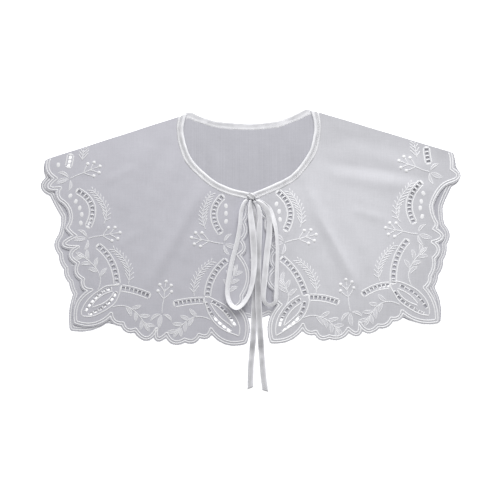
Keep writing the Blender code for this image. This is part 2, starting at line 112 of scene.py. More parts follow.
# The line the collar is folded on
SHOULDER_LEFT_TIP = (-235.2, 78.1)
SHOULDER_LEFT_NECK = (-81.5, 127.6)
CORNER_LEFT = (-73.4, 133.0)
CORNER_RIGHT = (64.7, 136.9)
SHOULDER_RIGHT_NECK = (80.9, 131.9)
SHOULDER_RIGHT_TIP = (235.2, 85.4)

FRONT_LEFT = [Scallop(*row) for row in (
    (-232.3, 80.0, 0), (-224.8, 56.3, 5.8), (-220.1, 45.2, 11.6), (-219.5, 31.3, 2.9),
    (-207.4, 12.8, -2.9), (-212.0, -1.2, -1.4), (-202.1, -10.4, 0.6), (-199.2, -23.2, 15.6),
    (-199.2, -41.8, 8.7), (-193.4, -60.3, 5.2), (-183.6, -73.1, 5.1), (-202.1, -110.2, 7.5),
    (-161.0, -100.3, 7.0), (-147.5, -111.6, 4.2), (-132.8, -118.6, 4.6), (-108.4, -117.6, 10.6),
    (-96.8, -123.6, 9.9), (-75.9, -130.2, 6.4), (-59.5, -124.7, 4.4), (-45.5, -118.4, 5.0),
    (-6.7, -132.6, 7.6), (-16.0, -91.6, 7.0), (-10.7, -80.0, 2.5), (-14.2, -32.5, 9.3),
    (-11.9, -15.1, 5.8), (-8.4, 5.8, 4.6), (-4.9, 26.7, 2.9),
)]
FRONT_RIGHT = [Scallop(*row) for row in (
    (231.0, 86.8, 0), (232.9, 67.3, 1.2), (231.1, 52.8, 8.7), (221.3, 47.0, -0.6), (209.1, 24.4, -1.7),
    (215.5, 4.6, -1.4), (212.6, -2.3, 1.2), (210.8, -17.4, 10.4), (212.0, -36.0, 6.4),
    (207.9, -56.8, 2.3), (201.6, -70.2, 2.3), (216.1, -108.5, 4.1), (176.0, -97.4, 5.2),
    (163.3, -106.0, 3.9), (148.2, -114.0, 3.6), (126.7, -111.3, 7.6), (113.4, -117.7, 9.7),
    (91.3, -126.4, 5.2), (76.3, -121.2, 4.6), (61.2, -113.1, 4.9), (25.2, -131.7, 6.3),
    (35.7, -90.5, 6.4), (31.0, -73.1, 4.0), (29.9, -47.6, 9.3), (29.9, -26.7, 5.8), (26.4, -8.1, 5.2),
    (20.6, 10.4, 4.6), (13.6, 25.5, 3.5),
)]
BACK_LEFT = [Scallop(*row) for row in (
    (-232.3, 80.0, 0), (-232.9, 56.8, 3.5), (-230.0, 38.9, 8.1), (-216.0, 12.8, 0.5),
    (-219.5, -10.4, -1.2), (-218.9, -31.3, 4.6), (-212.6, -47.6, 1.9), (-206.8, -63.8, 2.3),
    (-202.1, -77.7, 0.9), (-206.2, -117.2, 2.3), (-166.2, -107.3, 4.5),
)]
BACK_RIGHT = [Scallop(*row) for row in (
    (217.4, -107.6, 3.2), (209.7, -69.6, 3.5), (214.9, -53.9, 1.4), (220.1, -37.7, 1.9),
    (224.2, -19.7, 2.1), (222.4, 1.2, 4.6), (220.1, 24.4, -1.2), (231.1, 49.3, -0.6), (235.2, 68.4, 6.4),
    (231.5, 86.6, 0.9),
)]
BACK_HEM_SCALLOPS = 11
BACK_HEM_END = (177.2, -101.6)
BACK_HEM_BULGE = 4.0
BACK_HEM_ARCH = 5.5

LADDERS_LEFT = [Ladder(*row) for row in (
    (-208.2, 83.4, -209.1, 77.1, -210.7, 69.6, 3, True),
    (-200.4, 41.8, -183.6, 24.4, -188.2, 0.0, 10, True),
    (-176.8, -22.0, -160.9, -40.6, -154.3, -66.1, 9, True),
    (-149.4, -70.8, -133.7, -74.0, -116.9, -80.0, 7, True),
    (-160.8, -71.4, -176.6, -79.5, -190.5, -97.4, 7, False),
    (-154.8, -75.4, -166.8, -90.2, -187.1, -101.5, 7, False),
    (-31.6, 35.4, -42.3, 15.7, -34.2, -7.0, 10, True),
    (-27.6, -38.9, -43.8, -58.0, -49.6, -80.6, 9, True),
    (-54.2, -85.3, -70.5, -86.2, -87.9, -89.3, 7, True),
    (-51.2, -87.4, -41.5, -105.0, -22.4, -121.0, 7, False),
    (-44.5, -86.4, -29.9, -97.4, -17.1, -114.3, 7, False),
)]
LADDERS_RIGHT = [Ladder(*row) for row in (
    (204.1, 91.6, 205.0, 82.9, 206.8, 73.7, 4, True), (198.1, 51.6, 184.5, 29.0, 190.0, 4.6, 11, True),
    (182.4, -15.7, 169.1, -38.3, 165.9, -65.5, 10, True),
    (161.5, -67.9, 145.9, -70.2, 130.2, -78.3, 7, True),
    (167.0, -74.5, 179.5, -88.2, 201.0, -100.0, 7, False),
    (173.6, -68.3, 190.0, -77.1, 204.5, -94.0, 7, False), (31.6, 40.6, 46.1, 20.3, 40.9, -4.1, 11, True),
    (36.3, -36.5, 53.1, -54.5, 64.1, -78.9, 9, True), (68.7, -81.8, 85.0, -82.7, 101.8, -87.6, 7, True),
    (58.3, -84.1, 42.6, -96.3, 33.9, -114.8, 7, False),
    (62.8, -86.6, 56.8, -103.7, 37.6, -120.5, 7, False),
)]
BACK_LADDERS = 6
BACK_SHIFT_LEFT = (-4.1, -7.0)
BACK_SHIFT_RIGHT = (6.5, -0.8)

# The cords of each pointed corner: round its outside in two runs that meet at the point, and round its inside
CORNERS_LEFT_OUTER = [
    [(-152.3, -67.3), (-166.2, -68.4), (-174.3, -73.1), (-183.6, -80.0), (-191.7, -89.3),
     (-195.8, -98.6), (-194.6, -103.2)],
    [(-194.6, -103.2), (-185.9, -103.8), (-178.9, -102.1), (-167.3, -96.3), (-156.9, -88.2),
     (-151.7, -77.7), (-150.5, -69.6)],
    [(-159.2, -74.2), (-167.3, -77.1), (-174.3, -81.2), (-180.1, -86.4), (-183.6, -92.2)],
    [(-158.0, -75.4), (-160.4, -80.0), (-165.0, -84.7), (-172.0, -89.3), (-183.6, -93.4)],
]
CORNERS_LEFT_CENTRE = [
    [(-53.7, -81.2), (-51.3, -91.6), (-46.7, -103.2), (-38.6, -113.7), (-28.1, -120.6), (-13.0, -126.5)],
    [(-13.0, -126.5), (-12.2, -117.2), (-15.4, -107.9), (-21.2, -98.6), (-28.1, -91.6), (-36.3, -87.0),
     (-47.9, -81.2)],
    [(-46.5, -88.3), (-40.9, -97.4), (-33.9, -105.6), (-25.8, -111.9), (-20.2, -116.5)],
    [(-45.2, -88.2), (-37.4, -92.8), (-30.4, -99.2), (-24.6, -106.7), (-19.6, -115.2)],
]
CORNERS_RIGHT_OUTER = [
    [(161.5, -65.0), (163.3, -70.8), (167.9, -78.9), (173.7, -87.0), (185.3, -95.1), (196.9, -100.9),
     (207.4, -102.7)],
    [(207.4, -102.7), (207.4, -95.1), (203.9, -84.7), (194.6, -74.2), (185.3, -68.4), (173.7, -63.8),
     (163.3, -62.6)],
    [(170.2, -71.3), (179.5, -75.4), (187.6, -81.2), (194.6, -89.3)],
    [(170.2, -73.1), (176.0, -81.2), (184.2, -87.0), (194.2, -91.1)],
]
CORNERS_RIGHT_CENTRE = [
    [(67.6, -77.7), (68.2, -87.0), (64.7, -98.6), (57.7, -107.9), (46.1, -116.0), (34.5, -123.5),
     (29.9, -126.3)],
    [(29.9, -126.3), (29.3, -117.2), (32.2, -105.6), (39.2, -94.0), (48.4, -84.7), (57.7, -78.9)],
    [(59.4, -87.6), (49.6, -95.1), (42.6, -104.4), (38.6, -114.3)],
    [(60.3, -88.4), (56.4, -98.6), (48.8, -106.6), (39.2, -114.9)],
]

FERNS_LEFT = [Fern(*row) for row in (
    (-194.6, 76.6, -194.0, 82.9, -192.9, 89.5, 4), (-170.2, 2.9, -167.6, 22.0, -183.6, 42.9, 10),
    (-141.8, -67.3, -141.8, -45.2, -158.6, -25.5, 10), (-51.3, -3.5, -54.8, 16.2, -45.5, 38.0, 10),
    (-64.7, -81.2, -61.8, -58.0, -44.4, -40.0, 10),
)]
FERNS_RIGHT = [Fern(*row) for row in (
    (192.9, 80.0, 191.7, 88.3, 190.0, 96.0, 4), (174.3, 5.2, 170.0, 24.4, 187.1, 51.0, 10),
    (150.5, -63.8, 149.9, -42.9, 166.2, -21.5, 10), (57.7, -1.2, 58.3, 19.7, 44.8, 41.3, 10),
    (76.3, -77.7, 72.2, -55.7, 54.8, -38.3, 10),
)]
BRANCHES_LEFT = [Branch(*row) for row in (
    (-177.2, -74.2, -176.0, -52.2, -198.7, -31.3, 7), (-160.4, -93.4, -138.3, -94.5, -118.6, -118.3, 7),
    (-45.5, -107.9, -67.6, -105.6, -87.3, -125.3, 8), (-28.1, -89.3, -24.5, -70.8, -16.4, -47.2, 7),
)]
BRANCHES_RIGHT = [Branch(*row) for row in (
    (187.6, -69.0, 184.7, -48.7, 202.1, -26.1, 7), (173.7, -90.5, 151.7, -88.7, 134.3, -111.9, 8),
    (61.2, -105.6, 82.1, -104.4, 104.1, -122.4, 8), (41.5, -90.5, 43.8, -76.7, 34.4, -61.3, 6),
)]
SPRIGS_LEFT = [Sprig(*row) for row in (
    (-209.1, 55.7, 23.0), (-188.2, -13.5, 11.0), (-102.3, -100.9, 83.0), (-30.7, -19.3, 170.0),
)]
SPRIGS_RIGHT = [Sprig(*row) for row in (
    (207.9, 63.8, 160.6), (194.1, -8.1, 169.8), (116.2, -98.6, 98.7), (39.5, -18.4, 15.0),
)]
DOTS_LEFT = [Dot(*row) for row in (
    (-208.5, 36.0, -35), (-202.1, 29.6, -25), (-197.5, 22.0, -10), (-195.2, 14.5, 0), (-196.3, 4.6, 10),
    (-222.4, 71.9, 0), (-28.1, 24.4, 15), (-28.1, 15.7, 0), (-28.1, 6.4, -15),
)]
DOTS_RIGHT = [Dot(*row) for row in (
    (200.4, 38.9, 30), (198.1, 29.6, 12), (196.9, 22.0, 0), (199.2, 12.2, -15), (30.4, 26.7, -20),
    (33.4, 18.0, -5), (34.5, 8.7, 10),
)]

# The large soft folds, near the solids' own, and the small creases that lie between them
FOLDS = [Crease(*row) for row in (
    (-54.0, 48.0, -119.0, -70.0, 2.6, 8.5), (68.0, 38.0, 123.0, -70.0, 3.4, 7.6),
    (96.0, 88.0, 214.0, 70.0, 0.9, 10.0), (98.0, 62.0, 208.0, 42.0, 1.6, 9.0),
    (-120.0, 96.0, -150.0, 20.0, 1.4, 12.0),
)]
CREASES_FRONT = [Crease(*row) for row in (
    (-78.0, 60.0, -112.0, 6.0, -0.5, 6.0), (-132.0, 70.0, -168.0, 52.0, 0.6, 5.0),
    (-96.0, 100.0, -118.0, 44.0, -0.6, 7.0), (-170.0, 84.0, -196.0, 60.0, 0.5, 6.0),
    (-128.0, -4.0, -150.0, -22.0, 0.5, 5.0), (-84.0, -30.0, -92.0, -84.0, -0.5, 6.0),
    (-62.0, -2.0, -78.0, -40.0, 0.6, 5.0), (54.0, 52.0, 88.0, 2.0, -0.9, 6.0),
    (88.0, 2.0, 108.0, -42.0, -0.8, 5.0), (118.0, 20.0, 160.0, 8.0, 0.6, 5.0),
    (92.0, 72.0, 220.0, 54.0, -0.5, 6.0), (80.0, 12.0, 118.0, -54.0, 0.7, 3.0),
    (126.0, -8.0, 140.0, -50.0, 0.6, 6.0), (102.0, 108.0, 170.0, 92.0, -0.5, 6.0),
    (84.0, -30.0, 92.0, -70.0, 0.5, 5.0),
)]
CREASES_BACK = [Crease(*row) for row in (
    (-60.0, 106.0, -30.0, 60.0, 0.28, 7.0), (-20.0, 110.0, -14.0, 62.0, 0.22, 6.0),
    (18.0, 112.0, 10.0, 54.0, 0.3, 6.0), (52.0, 114.0, 40.0, 70.0, 0.26, 7.0),
    (-140.0, 60.0, -120.0, -60.0, 0.25, 9.0), (130.0, 60.0, 118.0, -50.0, 0.25, 9.0),
    (-40.0, 20.0, -60.0, -70.0, 0.22, 8.0), (60.0, 10.0, 74.0, -60.0, 0.24, 8.0),
)]

# The middle line of the neck binding, across the back and down each front
NECK_BACK = [
    (-76.3, 128.4), (-70.5, 129.4), (-58.3, 124.1), (-35.1, 118.1), (-0.3, 115.8), (28.7, 118.3),
    (46.1, 123.8), (57.7, 128.8), (67.0, 133.2), (72.5, 134.6),
]
NECK_LEFT = [
    (-77.6, 132.0), (-79.8, 124.5), (-81.5, 112.5), (-78.6, 95.1), (-71.1, 76.6), (-57.1, 61.5),
    (-41.5, 49.1), (-23.5, 41.0), (-5.0, 36.4), (-0.6, 35.3),
]
NECK_RIGHT = [
    (73.8, 136.4), (75.8, 130.0), (77.8, 120.0), (77.2, 105.0), (71.1, 84.1), (54.2, 61.1), (39.7, 51.0),
    (21.8, 42.9), (8.2, 37.2), (3.6, 35.3),
]

TIE_LOOP_LEFT = [Tie(*row) for row in (
    (-3.4, 31.0, 6.0, 20, 0.40), (-6.7, 27.8, 6.2, 50, 0.70), (-10.4, 17.4, 6.3, 68, 1.0),
    (-11.9, 1.2, 6.3, 68, 1.0), (-15.4, -18.6, 6.2, 62, 1.0), (-20.6, -38.3, 6.2, 60, 1.0),
    (-24.6, -58.0, 6.2, 60, 1.0), (-26.4, -76.6, 6.2, 62, 1.0), (-22.9, -88.7, 6.3, 65, 1.0),
    (-15.9, -93.4, 6.3, 68, 1.0), (-8.4, -88.7, 6.6, 68, 1.0), (-1.4, -77.1, 7.4, 65, 1.0),
    (2.6, -62.6, 7.6, 55, 1.0), (4.4, -44.1, 7.0, 30, 1.0), (4.0, -24.4, 6.0, 5, 1.0),
    (2.6, -4.6, 6.0, -10, 1.0), (0.5, 13.9, 6.3, -30, 0.90), (-0.2, 26.1, 6.4, -35, 0.55),
    (0.4, 31.0, 6.2, -20, 0.36),
)]
TIE_LOOP_RIGHT = [Tie(*row) for row in (
    (6.6, 30.4, 6.6, -20, 0.36), (11.2, 28.0, 7.4, -32, 0.65), (17.7, 21.0, 7.2, -38, 1.0),
    (21.8, 10.4, 6.4, -38, 1.0), (21.8, -9.3, 5.8, -28, 1.0), (19.7, -26.7, 5.8, -26, 1.0),
    (17.9, -45.2, 6.1, -28, 1.0), (16.3, -62.6, 6.3, -36, 1.0), (15.4, -74.0, 6.4, -50, 1.0),
    (15.4, -83.0, 6.4, -63, 1.0), (17.6, -88.2, 6.4, -71, 1.0), (22.6, -90.4, 6.4, -71, 1.0),
    (27.7, -88.2, 6.4, -70, 1.0), (29.9, -83.0, 6.4, -68, 1.0), (30.4, -68.4, 6.3, -66, 1.0),
    (31.0, -49.9, 6.3, -68, 1.0), (31.4, -29.0, 6.4, -74, 1.0), (30.4, -8.1, 6.4, -74, 1.0),
    (27.4, 7.0, 5.9, -60, 1.0), (22.3, 19.7, 3.9, -20, 0.85), (15.4, 27.3, 3.4, 0, 0.60),
    (8.2, 31.2, 3.6, 0, 0.40),
)]
TIE_TAIL_LEFT = [Tie(*row) for row in (
    (0.3, 31.0, 2.3, 0, 0.40), (2.4, 25.0, 2.0, 0, 0.60), (4.2, 15.0, 1.85, 0, 0.95),
    (4.4, 2.3, 1.85, 0, 1.0), (4.6, -20.9, 1.85, 0, 1.0), (5.1, -44.1, 1.85, 0, 1.0),
    (5.5, -67.3, 1.85, 0, 1.0), (5.2, -88.2, 1.85, 0, 1.0), (4.5, -104.0, 1.85, 0, 1.0),
    (4.0, -114.0, 1.6, 0, 1.0), (3.4, -128.0, 0.8, 0, 1.0), (1.8, -148.5, 0.6, 0, 1.0),
    (0.6, -163.6, 0.6, 0, 1.0), (0.2, -187.0, 0.6, 0, 1.0),
)]
TIE_TAIL_RIGHT = [Tie(*row) for row in (
    (3.4, 30.2, 3.9, 10, 0.36), (7.3, 26.0, 4.7, -40, 0.65), (10.3, 18.0, 6.1, -56, 1.0),
    (11.1, 8.1, 6.0, -55, 1.0), (10.2, -5.8, 4.9, -30, 1.0), (9.3, -23.2, 3.7, -5, 1.0),
    (9.0, -44.1, 3.3, 0, 1.0), (9.0, -67.3, 3.3, 0, 1.0), (9.6, -90.5, 3.3, 0, 1.0),
    (10.7, -110.2, 3.2, 0, 1.0), (11.8, -127.0, 2.0, 0, 1.0), (12.8, -142.0, 0.8, 0, 1.0),
    (14.0, -158.0, 0.6, 0, 1.0), (15.4, -174.0, 0.6, 0, 1.0), (17.5, -190.2, 0.6, 0, 1.0),
)]

# A soft stroke is a leaf's filling, sewn flatter and duller than its outline
Stroke = namedtuple("Stroke", "path width rise soft", defaults=(False,))


class CollarSettings(PropertyGroup):
    """Sizes and colours of the collar that a user would change."""

    cloth_thickness: FloatProperty(
        name="Cloth thickness", description="Thickness of the voile", default=0.00045, unit="LENGTH")
    cloth_step: FloatProperty(
        name="Cloth step", description="Distance between the points of the cloth",
        default=0.0023, unit="LENGTH")
    cord_width: FloatProperty(
        name="Border cord width", description="Width of the stitched border cords",
        default=0.0016, unit="LENGTH")
    cord_gap: FloatProperty(
        name="Border cord gap", description="Distance between the two border cords",
        default=0.0027, unit="LENGTH")
    ladder_cord: FloatProperty(
        name="Ladder cord width", description="Width of the cords beside a ladder",
        default=0.0016, unit="LENGTH")
    ladder_half: FloatProperty(
        name="Ladder half width", description="From a ladder's middle to its cord",
        default=0.0037, unit="LENGTH")
    hole_across: FloatProperty(
        name="Hole width", description="Width of the holes of a ladder", default=0.0038, unit="LENGTH")
    stem_width: FloatProperty(
        name="Stem width", description="Width of a stitched stem", default=0.0011, unit="LENGTH")
    berry_width: FloatProperty(
        name="Berry width", description="Width of a stitched berry", default=0.0043, unit="LENGTH")
    stitch_rise: FloatProperty(
        name="Stitch rise", description="Height of the stitching over the cloth's middle", default=0.0008,
        unit="LENGTH")
    ribbon_width: FloatProperty(
        name="Ribbon width", description="Width of the neck ties", default=0.0075, unit="LENGTH")
    ribbon_thickness: FloatProperty(
        name="Ribbon thickness", description="Thickness of the neck ties", default=0.0005, unit="LENGTH")
    # The two fronts are one voile: the left front's darker colour and the right front's lighter one are painted
    # shade and painted light, for how the light falls on each
    left_colour: FloatVectorProperty(
        name="Left front", description="Colour of the left front's voile", subtype="COLOR",
        default=(0.54, 0.537, 0.585))
    right_colour: FloatVectorProperty(
        name="Right front", description="Colour of the right front's voile, painted lighter to stand in for light",
        subtype="COLOR", default=(0.662, 0.662, 0.70))
    # The back is set lighter than its neck opening shows: painted light where it is seen through the fronts'
    # holes, while its material paints shade over the neck
    back_colour: FloatVectorProperty(
        name="Back", description="Colour of the back's voile, which lies single", subtype="COLOR",
        default=(0.58, 0.579, 0.63))
    thread_colour: FloatVectorProperty(
        name="Thread", description="Colour of the embroidery thread", subtype="COLOR",
        default=(0.95, 0.95, 0.97))
    tape_colour: FloatVectorProperty(
        name="Tape", description="Lightest colour of the binding and ribbons", subtype="COLOR",
        default=(0.93, 0.93, 0.965))
    floor_colour: FloatVectorProperty(
        name="Floor", description="Colour of the floor", subtype="COLOR", default=(0.93, 0.93, 0.93))
    key_light: FloatProperty(
        name="Key light", description="Power of the large light", default=18.0, unit="POWER")
    sky_light: FloatProperty(
        name="Sky light", description="Strength of the even light all round", default=0.5)
    camera_height: FloatProperty(
        name="Camera height", description="Height of the camera over the table",
        default=1.3694, unit="LENGTH")


def sized(value):
    """A property's metres in the tables' millimetres."""
    return value / MM


def smooth_path(rows, step):
    """Points of a Catmull-Rom curve through the rows, about one step apart, every column blended alike."""
    rows = np.array(rows, float)
    ends = np.vstack([2 * rows[0] - rows[1], rows, 2 * rows[-1] - rows[-2]])
    path = [rows[:1]]
    for before, a, b, after in zip(ends, ends[1:], ends[2:], ends[3:]):
        count = max(1, round(np.linalg.norm((b - a)[:2]) / step))
        t = (np.arange(1, count + 1) / count)[:, None]
        bend = (2 * before - 5 * a + 4 * b - after) * t**2 + (3 * (a - b) + after - before) * t**3
        path.append(a + 0.5 * ((b - before) * t + bend))
    return np.concatenate(path)


def travelled(path):
    """Distance along a path at each of its points: the running sum of its steps."""
    return np.concatenate([[0], np.cumsum(np.linalg.norm(np.diff(path, axis=0), axis=1))])


def at_distances(path, distances):
    """The points of a path at the given distances along it, between its own points on straight lines."""
    travel = travelled(path)
    return np.stack([np.interp(distances, travel, path[:, k]) for k in range(path.shape[1])], 1)


def evenly(path, step):
    """A path again with points evenly spaced, about one step apart."""
    length = travelled(path)[-1]
    return at_distances(path, np.linspace(0, length, max(3, round(length / step) + 1)))


def arc_through(row, count=40):
    """The parabola through a table row's first, middle and last points, start*(1-t)^2 + 2*control*t*(1-t)
    + end*t^2, with its control point placed so that it meets the middle halfway."""
    start, middle, end = np.array(row[:6], float).reshape(3, 2)
    control = 2 * middle - (start + end) / 2
    t = np.linspace(0, 1, count)[:, None]
    return (1 - t) ** 2 * start + 2 * t * (1 - t) * control + t**2 * end


def unit(vectors):
    """Rows of vectors, each divided by its length."""
    return vectors / np.linalg.norm(vectors, axis=1)[:, None]


def sideways(path):
    """Unit plan directions to the right of a path."""
    ahead = unit(np.gradient(path, axis=0))
    return np.stack([ahead[:, 1], -ahead[:, 0]], 1)


def in_parts(function, points):
    """A function of many points, worked out on a part of them at a time to save memory."""
    return np.concatenate([function(part) for part in np.array_split(points, 1 + len(points) // PART_SIZE)])


def nearest_squared(points, others):
    """Squared distance from each point to the nearest of the others."""
    return in_parts(lambda part: ((part[:, None] - others[None]) ** 2).sum(2).min(1), points)


def stitched_line(rows, outward, step):
    """The scalloped stitching line: a parabola on each chord. Gives points and their outward directions."""
    points, normals = [], []
    for a, b in zip(rows, rows[1:]):
        chord = np.array([b.x - a.x, b.y - a.y])
        length = np.hypot(*chord)
        side = outward * np.array([chord[1], -chord[0]]) / length
        count = max(3, round((length + 2 * abs(b.bulge)) / step))
        t = np.linspace(0, 1, count + 1)[:, None]
        points.append((a.x, a.y) + chord * t + side * b.bulge * 4 * t * (1 - t))
        tangent = chord + side * b.bulge * 4 * (1 - 2 * t)
        normals.append(unit(outward * np.stack([tangent[:, 1], -tangent[:, 0]], 1)))
    return points, normals


def beside_stitching(rows, outward, distance, step):
    """A line at one distance from the stitching, outside it for a positive one: every point moved along its
    outward direction, fanned round corners, less the points that come nearer than that to any of the line."""
    fine = np.concatenate(stitched_line(rows, outward, FINE_STEP)[0])
    points, normals = stitched_line(rows, outward, step)
    turn = np.linspace(0, 1, CORNER_POINTS + 2)[1:-1, None]
    line = []
    for number, (p, n) in enumerate(zip(points, normals)):
        line.append(p + distance * n)
        if number + 1 < len(points):
            fan = n[-1] * (1 - turn) + normals[number + 1][0] * turn
            line.append(p[-1] + distance * fan / np.linalg.norm(fan, axis=1)[:, None])
    line = np.concatenate(line)
    line = line[np.sqrt(nearest_squared(line, fine)) > abs(distance) * NOTCH_SHARE]
    apart = np.linalg.norm(np.diff(line, axis=0), axis=1)
    return line[np.concatenate([[True], apart > EDGE_SHORTEST * 0.5])]


def uneven_edge(line, outward):
    """The cut edge of worn cloth: the line pushed in and out by two short waves along its length."""
    travel = travelled(line)
    push = 0.2 * np.sin(travel * 2.05 + 0.9 * np.sin(travel * 0.31)) + 0.14 * np.sin(travel * 3.7 + 1.3)
    return line + outward * push[:, None] * sideways(line)


def shoulder_height(x):
    """Y of the folded shoulders and neck corners above a plan X."""
    left = (SHOULDER_LEFT_TIP, SHOULDER_LEFT_NECK, CORNER_LEFT)
    right = (CORNER_RIGHT, SHOULDER_RIGHT_NECK, SHOULDER_RIGHT_TIP)
    return np.interp(x, *zip(*left, *right))


def bell(points, crease):
    """A bell across a crease's line, exp(-(distance/width)^2), as high as the crease says at its middle and
    lower towards its ends, by the square root of a sine."""
    start, end = np.array([crease.x0, crease.y0]), np.array([crease.x1, crease.y1])
    run = end - start
    share = np.clip(((points - start) @ run) / (run @ run), 0, 1)
    distance = np.linalg.norm(points - start - share[:, None] * run, axis=1)
    taper = CREASE_END + (1 - CREASE_END) * np.sqrt(np.sin(np.pi * share))
    return crease.height * taper * np.exp(-((distance / crease.width) ** 2))


def ripple(points):
    """The cloth's slight unevenness: three crossing waves of unlike lengths, in millimetres."""
    x, y = points[:, 0], points[:, 1]
    broad = np.sin(x / 11.0 + 1.7 * np.sin(y / 29.0)) * np.sin(y / 14.0 + 1.1 * np.sin(x / 23.0))
    return 0.16 * broad + 0.07 * np.sin(x / 4.1 + y / 6.7) * np.sin(y / 5.3 - x / 9.1)


def below_shoulder(points):
    """How far plan points lie below the shoulders, from 0 on them to 1 at the end of their calm strip."""
    return np.clip((shoulder_height(points[:, 0]) - points[:, 1]) / SHOULDER_FADE, 0, 1)


def front_underside(points):
    """Z under a front: it lies on the back, rises at its folds and small creases, and is calm at the shoulder."""
    height = np.zeros(len(points))
    for fold in FOLDS:
        height = np.maximum(height, bell(points, fold))
    for crease in CREASES_FRONT:
        height = height + bell(points, crease)
    fade = below_shoulder(points)
    return FRONT_BASE + (height + ripple(points)) * fade * fade * (3 - 2 * fade)


def back_underside(points):
    """Z under the back: flat on the table but for its small creases and the ripple on them."""
    height = sum(bell(points, crease) for crease in CREASES_BACK)
    height = height + BACK_RIPPLE * ripple(points) * (height > CREASE_TRACE)
    return BACK_BASE + height * below_shoulder(points)


def inside(points, polygon):
    """Which plan points lie inside a closed polygon, by counting the edges to their right."""
    a, b = polygon, np.roll(polygon, -1, axis=0)
    rise = np.where(b[:, 1] == a[:, 1], 1.0, b[:, 1] - a[:, 1])

    def odd(part):
        x, y = part[:, 0, None], part[:, 1, None]
        spans = (a[:, 1] > y) != (b[:, 1] > y)
        crossing = a[:, 0] + (y - a[:, 1]) * (b[:, 0] - a[:, 0]) / rise
        return (spans & (x < crossing)).sum(1) % 2 == 1
    return in_parts(odd, points)


def in_a_hole(points, holes):
    """Which plan points lie in one of the holes. Only those near a hole's middle are tried on it."""
    result = np.zeros(len(points), bool)
    for hole in holes:
        near = np.abs(points - hole.mean(0)).max(1) < HOLE_NEAR
        result[near] |= inside(points[near], hole)
    return result


def swollen(wave, power):
    """A sine or cosine raised to a power with its sign kept. A pair of them draws a superellipse."""
    return np.sign(wave) * np.abs(wave) ** power


def ladder_stations(row):
    """A ladder's curve, and the pitch of its holes along it."""
    curve = arc_through(row, 200)
    return curve, travelled(curve)[-1] / row.holes


def ladder_holes(ladders, across):
    """A ring of points round each hole: a superellipse, nearly square with round corners."""
    turn = np.linspace(0, 2 * np.pi, HOLE_POINTS, endpoint=False) + np.pi / HOLE_POINTS
    round_x, round_y = swollen(np.cos(turn), HOLE_ROUND), swollen(np.sin(turn), HOLE_ROUND)
    holes = []
    for row in ladders:
        wide = across if row.cords else across * CORNER_SHARE
        curve, pitch = ladder_stations(row)
        middle = at_distances(curve, pitch * (np.arange(row.holes) + 0.5))
        ends = at_distances(curve, pitch * (np.arange(row.holes) + 0.5 + HOLE_SHARE / 2))
        for m, e in zip(middle, ends):
            along = (e - m) / np.linalg.norm(e - m)
            side = np.array([along[1], -along[0]])
            reach = pitch * HOLE_SHARE / 2
            holes.append(m + along * (round_x * reach)[:, None] + side * (round_y * wide / 2)[:, None])
    return holes


def moved(rows, shift):
    """The same rows moved in plan: every pair of their leading plan coordinates shifted alike."""
    result = []
    for row in rows:
        pairs = 3 if hasattr(row, "x_mid") else 1
        result.append(type(row)(*np.add(row[:2 * pairs], shift * pairs), *row[2 * pairs:]))
    return result


def new_piece(name, points, faces, material, uv=None):
    """A smooth mesh piece from points in the tables' millimetres, riding on the collar."""
    mesh = bpy.data.meshes.new(name)
    placed = (np.asarray(points, float) - (*PLAN_MIDDLE, 0.0)) * MM
    mesh.from_pydata(placed.tolist(), [], faces)
    mesh.materials.append(material)
    mesh.shade_smooth()
    if uv is not None:
        layer = mesh.uv_layers.new(name="run")
        layer.data.foreach_set("uv", np.asarray(uv, np.float32).ravel())
    piece = bpy.data.objects.new(name, mesh)
    bpy.context.scene.collection.objects.link(piece)
    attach(piece, "root")
    return piece


def tube_faces(count, sides):
    """Quads between neighbouring rings, then a cap on the first ring and one on the last."""
    ring, side = np.meshgrid(np.arange(count - 1), np.arange(sides), indexing="ij")
    here = ring * sides + side
    beside = ring * sides + (side + 1) % sides
    quads = np.stack([here, here + sides, beside + sides, beside], -1).reshape(-1, 4)
    return quads, [list(range(sides)), [sides * count - 1 - k for k in range(sides)]]


def tube_uv(run, sides):
    """UV corners for tube_faces: the distance run along the tube, and the share of the way round its ring."""
    ring, side = np.meshgrid(np.arange(len(run) - 1), np.arange(sides), indexing="ij")
    u = np.stack([run[ring], run[ring + 1], run[ring + 1], run[ring]], -1)
    v = np.stack([side, side, side + 1, side + 1], -1) / sides
    caps = np.concatenate([np.full((sides, 2), (run[0], 0.5)), np.full((sides, 2), (run[-1], 0.5))])
    return np.concatenate([np.stack([u, v], -1).reshape(-1, 2), caps])


def tubes(name, bundles, material):
    """One piece from bundles of rings, each an array of rings by sides by three, and its run along them."""
    points, faces, uv, first = [], [], [], 0
    for rings, run in bundles:
        count, sides = rings.shape[:2]
        quads, caps = tube_faces(count, sides)
        points.append(rings.reshape(-1, 3))
        faces += (quads + first).tolist() + [[k + first for k in cap] for cap in caps]
        uv.append(tube_uv(run, sides))
        first += count * sides
    return new_piece(name, np.concatenate(points), faces, material, np.concatenate(uv))


